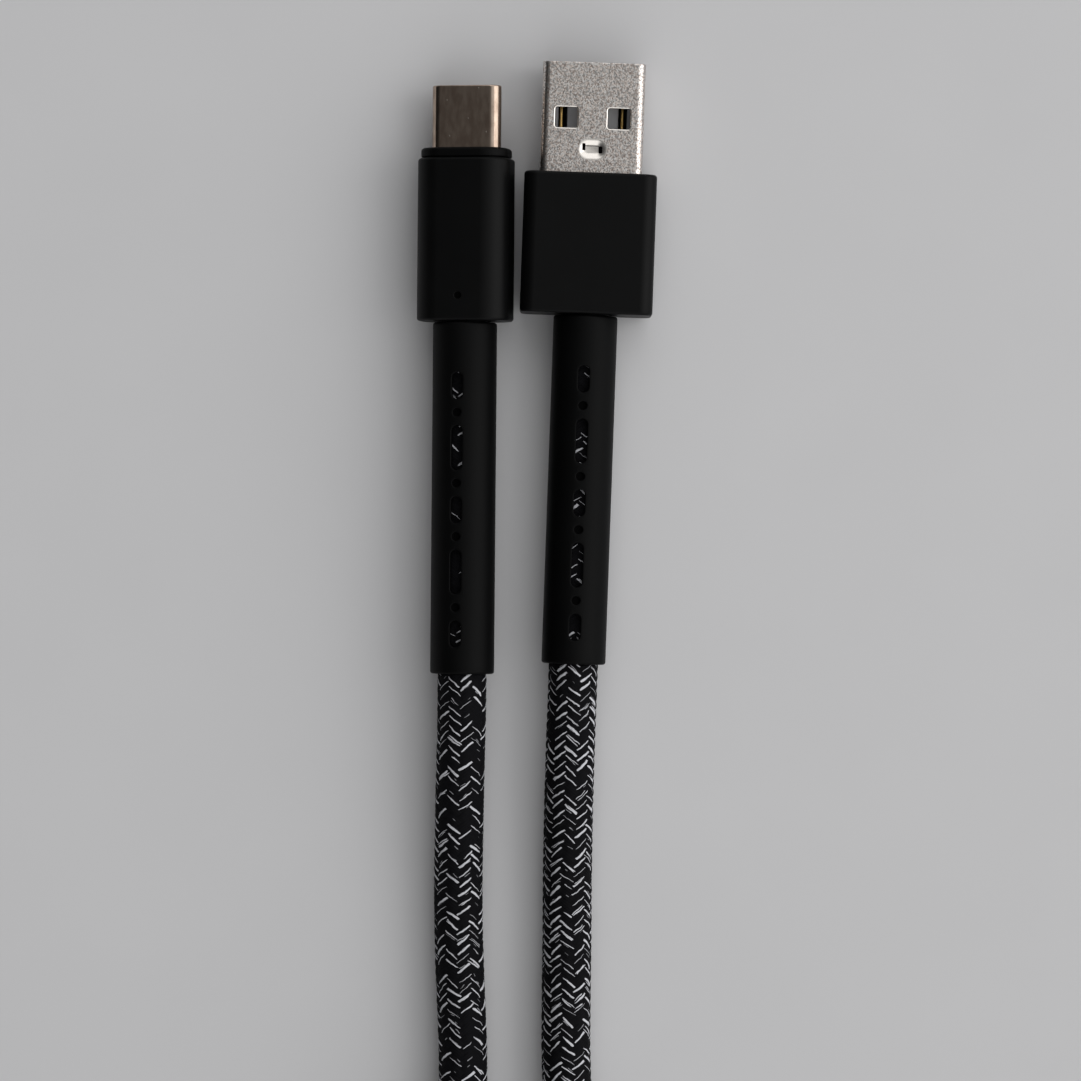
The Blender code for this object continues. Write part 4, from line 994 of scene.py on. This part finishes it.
def usb_a_shell(plug, finishes):
    """The folded steel box: windows with rolled edges, a pressed pocket, and the seam beneath."""
    outer = block_size(A_SHELL_WIDTH, A_SHELL_HEIGHT, A_SHELL_ROUND)
    inner = block_size(A_SHELL_WIDTH, A_SHELL_HEIGHT, A_SHELL_BEND)(A_SHELL_WALL)
    sections = [across(outer(0), -A_SHELL_IN)]
    sections += [across(outer(0), A_SHELL_OUT * i / 8) for i in range(8)]
    sections += edge_round(outer, A_SHELL_OUT, -1, A_LIP)
    sections += [across(outer(A_SHELL_WALL - A_LIP), A_SHELL_OUT), across(inner, A_SHELL_OUT - 1.5 * A_LIP)]
    sections += [across(inner, -A_SHELL_IN)]
    cutters = [
        opening(
            *A_WINDOW, A_WINDOW_CORNER, where * A_WINDOW_APART / 2, A_SHELL_OUT - A_WINDOW_FROM_TIP, side,
            flat_top(A_SHELL_HEIGHT), 2 * A_SHELL_WALL, A_WINDOW_EDGE,
        )
        for side in (1, -1) for where in (1, -1)
    ]
    pocket_y = A_SHELL_OUT - A_DIMPLE_FROM_TIP
    cutters.append(pocket(pocket_y))
    low, high = -A_SHELL_HEIGHT / 2 - MM, -0.3 * A_SHELL_HEIGHT
    seam = [(-A_SEAM / 2, low), (A_SEAM / 2, low), (A_SEAM / 2, high), (-A_SEAM / 2, high)]
    cutters.append(shell_of([across(seam, -2 * A_SHELL_IN), across(seam, 2 * A_SHELL_OUT)]))
    cutters = [(points, faces, range(len(faces))) for points, faces, *_ in cutters]
    # the slits' walls take the third finish, which is painted shade
    for x, y, width, length in A_SLITS:
        ring = outline(width, length, 0.3 * min(width, length))
        levels = (A_SHELL_HEIGHT / 2 - A_SLIT_DEPTH, A_SHELL_HEIGHT / 2 + A_SHELL_WALL)
        points, faces = shell_of([[(x + px, pocket_y + y + py, z) for px, py in ring] for z in levels])
        cutters.append((points, faces, (), range(len(faces))))
    build(
        "usb_a_metal", [shell_of(sections, ring=True)],
        (finishes["usb_a_shell"], finishes["pressed"], finishes["painted_shade"]), ["usb_a_shell"],
        plug, cutters, crossing=True,
    )


def pocket(y):
    """A cutter for the pressed pocket: soft slopes from its small floor up to its wide mouth."""
    sections = []
    for i in range(13):
        risen = i / 12
        wide = 1 - math.acos(2 * risen - 1) / math.pi
        width, length = (low + (high - low) * wide for low, high in zip(A_POCKET_FLOOR, A_POCKET))
        height = A_SHELL_HEIGHT / 2 - A_POCKET_DEPTH * (1 - risen)
        ring = outline(width, length, 0.47 * length)
        sections.append([(px + A_POCKET_ASIDE * wide, y + py, height) for px, py in ring])
    sections.append([(px, py, height + 0.1 * MM) for px, py, height in sections[-1]])
    return shell_of(sections)


def usb_a_contacts(plug, finishes):
    """The four sprung strips in the tongue's grooves: a gold ridge, and flanks that carry painted shade for
    the grooves.
    """
    top = A_TONGUE_THICKNESS - (A_SHELL_HEIGHT / 2 - A_SHELL_WALL - FIT) - FINE_FIT / 2
    low = top - A_CONTACT_THICKNESS
    tail = -A_SHELL_IN + FIT - A_TAIL
    half, ridge_half = A_CONTACT_WIDTH / 2, A_RIDGE_WIDTH / 2
    flat, ridge = A_FLANK_THICKNESS, A_CONTACT_THICKNESS - A_FLANK_THICKNESS
    turn = [math.pi * (1 - i / 12) for i in range(13)]
    strips = []
    for (x, setback), aside in zip(A_CONTACTS.values(), A_RIDGE_ASIDE):
        tip = A_SHELL_OUT - setback
        profile = [(-half, 0), (-half, flat)]
        profile += [(aside + ridge_half * math.cos(a), flat + ridge * math.sin(a) ** 2) for a in turn]
        profile += [(half, flat), (half, 0)]
        sections = [
            across([(x + px, low + up * share) for px, up in profile], y)
            for y, share in ((tail, 1.0), *((tip - back, share) for back, share in A_CONTACT_NOSE))
        ]
        count = len(profile)
        flanks = [row * count + i for row in range(len(sections) - 1) for i in (0, 1, count - 3, count - 2)]
        strips.append((*shell_of(sections), flanks))
    build(
        # the flanks take the second finish: painted shade for the grooves beside each ridge
        "usb_a_contacts", strips, (finishes["contact"], finishes["painted_shade"]),
        ["usb_a_contact_" + name for name in A_CONTACTS], plug, angle=50,
    )


def usb_c_plug(plug, finishes):
    """Makes the USB-C plug and its sleeve, and gives the place of the sleeve's mouth."""
    front = -C_COLLAR_LENGTH - FIT
    rear = front - C_HOUSING_LENGTH
    size = block_size(C_HOUSING_WIDTH, C_HOUSING_HEIGHT, C_HOUSING_ROUND)
    cavity = size(C_HOUSING_WALL)
    dot = opening(
        C_DOT_DIAMETER, C_DOT_DIAMETER, C_DOT_DIAMETER / 2, 0, rear + C_DOT_FROM_REAR, 1,
        flat_top(C_HOUSING_HEIGHT), C_DOT_DEPTH, C_DOT_EDGE, C_DOT_BOWL,
    )
    # the dot's walls and floor take the second finish, which is painted shade
    both = (finishes["housing"], finishes["painted_shade"])
    housing("usb_c", plug, size, front, rear, [across(cavity, front)], cavity, both, [dot])
    outer = block_size(C_SHELL_WIDTH, C_SHELL_HEIGHT, C_SHELL_HEIGHT / 2)
    inner = outer(C_SHELL_WALL)
    sections = [across(outer(0), -C_SHELL_IN)]
    sections += [across(outer(0), C_SHELL_OUT * i / 6) for i in range(6)]
    sections += edge_round(outer, C_SHELL_OUT, -1, C_LIP)
    sections += [across(inner, C_SHELL_OUT - 0.4 * C_SHELL_WALL), across(inner, -C_SHELL_IN)]
    build(
        "usb_c_metal", [shell_of(sections, ring=True)], [finishes["usb_c_shell"]],
        ["usb_c_shell"], plug,
    )
    collar(plug, rear, outer(-FIT), size(C_HOUSING_WALL + FIT), finishes["mould"])
    return sleeve("usb_c", plug, rear, C_SLEEVE_LENGTH, finishes)


def collar(plug, housing_rear, mouth, waist, finish):
    """The inner mould, whose front stands out of the housing as a collar round the shell."""
    rear = housing_rear + END_WALL + FIT + SLEEVE_HEAD_LENGTH + FIT
    ferrule_room = rear + FERRULE_INSET + FERRULE_LENGTH + 1.5 * FIT
    size = block_size(C_COLLAR_WIDTH, C_COLLAR_HEIGHT, C_HOUSING_ROUND - FIT)
    around = block_size(C_SHIELD_WIDTH, C_SHIELD_HEIGHT, C_SHIELD_ROUND)(-FIT)
    bore = circle(JACKET_DIAMETER / 2 + FIT + FERRULE_WALL + FIT, waist)
    sections = [across(waist, rear), across(waist, -C_COLLAR_LENGTH)]
    sections += edge_round(size, -C_COLLAR_LENGTH, 1, C_COLLAR_EDGE, 3)[::-1]
    sections += edge_round(size, 0, -1, EDGE_ROUND)
    sections += [across(mouth, 0), across(mouth, -C_SHELL_IN - FIT), across(around, -C_SHELL_IN - FIT)]
    sections += [across(around, ferrule_room), across(bore, ferrule_room), across(bore, rear)]
    build(
        "usb_c_collar", [shell_of(sections, ring=True)], [finish], ["usb_c_inner_mould"], plug
    )


# ---- the tie

def strap(middle, finish):
    """A hook-and-loop strap: once round the strands, and its end laid over its start on the top."""
    beside = hank_point(1 / 24)
    slack = (beside.x - WAIST_HALF) * TIE_WIDTH / 2 / abs(beside.y)
    radius = CORD_RADIUS + 0.8 * CORD_FIT
    turn = [2 * math.pi * i / 72 for i in range(72)]
    strands = [hank_point(t / 2) for t in range(round(2 * LOOPS) + 1)]
    ring = [
        (p.x + math.copysign(slack, p.x) + radius * math.cos(a), p.z + radius * math.sin(a))
        for p in strands for a in turn
    ]
    hull = [ring[i] for i in convex_hull_2d(ring)]
    top = max(range(len(hull)), key=lambda i: (round(hull[i][1], 6), hull[i][0]))
    hull = np.array(hull[top:] + hull[:top + 1])
    at = np.append(0.0, np.cumsum(np.linalg.norm(np.diff(hull, axis=0), axis=1)))
    once = at[-1]
    whole = once + TIE_OVERLAP
    thickness = 0.9 * TIE_THICKNESS

    def spot(s):
        return np.array([np.interp(s % once, at, hull[:, 0]), np.interp(s % once, at, hull[:, 1])])

    sections = []
    steps = round(whole / TIE_STEP)
    for i in range(steps + 1):
        s = whole * i / steps
        ahead = spot(s + 0.8 * TIE_STEP) - spot(s - 0.8 * TIE_STEP)
        ahead /= np.linalg.norm(ahead)
        lift = (thickness + TIE_GAP) * ease((s - once + TIE_CLIMB) / TIE_CLIMB)
        thin = thickness * (1 - 0.5 * ease(1 - (whole - s) / TIE_TAPER) - 0.5 * ease(1 - s / TIE_TAPER))
        section = []
        for x, y in outline(TIE_WIDTH, thin, 0.4 * thin, 4):
            out = spot(s) + np.array([ahead[1], -ahead[0]]) * (lift + thin / 2 + y)
            section.append((middle.x + out[0], middle.y + x, out[1]))
        sections.append(section)
    return build("strap", [shell_of(sections)], [finish], ["cable_tie"], angle=50)


# ---- studio

def studio():
    """The table, the light and the photograph's camera."""
    cloth = Finish("table", TABLE_COLOURS[0], 0.9, specular=0.2)
    cloth.colours(cloth.tint(cloth.noise(0.05, 3.0), *TABLE_COLOURS))
    mesh = bpy.data.meshes.new("table")
    corners = [(x * TABLE_REACH, y * TABLE_REACH, 0) for x, y in ((-1, -1), (1, -1), (1, 1), (-1, 1))]
    mesh.from_pydata(corners, [], [(0, 1, 2, 3)])
    mesh.materials.append(cloth.material)
    in_scene("table", mesh)

    world = bpy.data.worlds.new("studio")
    bpy.context.scene.world = world
    world.use_nodes = True
    sky = Nodes(world.node_tree)
    x, y, z = sky.parts(sky.node("ShaderNodeTexCoord"))
    over = sky.ramp(x * 0.5 + 0.5, *(((at + 1) / 2, (level,) * 3) for at, level in WORLD))
    ends = sky.step(abs(y), *WORLD_ENDS_AT, 0.0, WORLD_ENDS) * sky.step(x, *WORLD_LEFT_OF_ENDS)
    light = sky.maths("MAXIMUM", over, ends)
    light += sky.step(z, *WORLD_LOW_AT, 1.0, 0.0) * (WORLD_LOW - light)
    background = sky.tree.nodes["Background"].inputs
    background["Color"].default_value = (1.0, 1.0, 1.0, 1.0)
    sky.give(background["Strength"], light)

    light = bpy.data.lights.new("key", "AREA")
    light.shape = "RECTANGLE"
    light.size, light.size_y = LAMP_SIZE
    light.energy = LAMP_POWER
    light.color = LAMP_COLOUR
    lamp = in_scene("key", light)
    lamp.location = LAMP_PLACE
    lamp.rotation_euler = (Vector(LAMP_AIM) - Vector(LAMP_PLACE)).to_track_quat("-Z", "Y").to_euler()

    lens = bpy.data.cameras.new("photo")
    lens.sensor_width = SENSOR
    lens.lens = SENSOR * CAMERA_DISTANCE / (PHOTO_PIXELS / PIXELS_PER_MM * MM)
    lens.clip_start = 0.01
    camera = in_scene("photo", lens)
    camera.location = (*VIEW_CENTRE, VIEW_PLANE + CAMERA_DISTANCE)
    bpy.context.scene.camera = camera
    bpy.context.scene.view_settings.view_transform = "Standard"


def dress_nodes(nodes, finishes):
    """Gives the solids that show as they are, and those hidden inside, their finishes."""
    for name, node in nodes.items():
        word = next(word for word in finishes if word in name)
        node.data.materials.clear()
        node.data.materials.append(finishes[word])


def make_finishes():
    """The finishes by a word in the names of the nodes that have them: a node's is the first that fits."""
    steel = plain_finish("spring_steel", (0.55, 0.55, 0.55), 0.3, 1.0, 5.0, 0.002, 0.1)
    return {
        "usb_a_insulator": plain_finish("grey_insulator", (0.39, 0.39, 0.405), 0.45),
        "usb_c_insulator": plain_finish("black_insulator", (0.015, 0.015, 0.016), 0.4),
        "contact": plain_finish("contact_gold", (0.80, 0.54, 0.20), 0.22, 1.0, 5.0, 0.002, 0.1),
        "shield": steel,
        "latch": steel,
        "spring": steel,
        "crimp": plain_finish("crimp_brass", (0.72, 0.50, 0.28), 0.38, 1.0, 4.0, 0.004, 0.15),
        "mould": moulded("inner_mould", (0.0016, 0.0016, 0.0017), 0.5, 9.0, 0.006, 0.08),
        "board": plain_finish("board_green", (0.02, 0.15, 0.06), 0.35),
        "resistor": plain_finish("resistor_black", (0.03, 0.03, 0.032), 0.35),
        "jacket": plain_finish("cable_jacket", (0.045, 0.045, 0.046), 0.5),
        "wire_red": plain_finish("wire_red", (0.55, 0.03, 0.03), 0.4),
        "wire_white": plain_finish("wire_white", (0.75, 0.75, 0.72), 0.4, spread=0.05),
        "wire_green": plain_finish("wire_green", (0.03, 0.32, 0.07), 0.4),
        "wire_black": plain_finish("wire_black", (0.02, 0.02, 0.02), 0.4),
        "tie": loop_fabric(),
        "housing": moulded("matte_plastic", (0.0025, 0.0026, 0.0027), 0.44, 9.0, 0.006, 0.10),
        "usb_a_shell": satin_nickel(),
        "usb_c_shell": polished_nickel(),
        "pressed": plain_finish("pressed_nickel", (0.86, 0.82, 0.77), 0.22, 1.0, 4.0, 0.002, 0.06),
        # painted shade: a darker, duller rubber for the walls and floors of slots, dots and slits, and for
        # the contacts' flanks
        "painted_shade": moulded("sleeve_painted_shade", (0.0010, 0.0010, 0.0011), 0.85, 7.0, 0.008, 0.04),
        "sleeve": moulded("sleeve_rubber", (0.0019, 0.0020, 0.0021), 0.50, 7.0, 0.008, 0.07),
    }


def main():
    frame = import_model()
    finishes = make_finishes()
    a_plug = Matrix.Translation((*A_PLACE, A_HOUSING_HEIGHT / 2)) @ Matrix.Rotation(A_HEADING, 4, "Z")
    flat_part = (C_HOUSING_WIDTH / 2 - C_HOUSING_ROUND) * abs(math.sin(C_ROLL))
    c_height = (C_HOUSING_HEIGHT / 2 - C_HOUSING_ROUND) * math.cos(C_ROLL) + flat_part + C_HOUSING_ROUND
    c_plug = Matrix.Translation((*C_PLACE, c_height)) @ Matrix.Rotation(C_HEADING, 4, "Z")
    c_plug = c_plug @ Matrix.Rotation(C_ROLL, 4, "Y")
    studio()
    a_mouth = usb_a_plug(a_plug, finishes)
    c_mouth = usb_c_plug(c_plug, finishes)
    line = Line(a_plug, a_mouth, c_plug, c_mouth)
    finishes["braid"] = finishes["cord"] = braid_finish(line.free / LEAD)
    cord, covers, centres = make_cord(line, finishes["braid"])
    tie = strap(line.tie_middle, finishes["tie"])
    [tuple(p) for p in centres]
    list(covers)
    dress_nodes(frame["nodes"], finishes)


main()
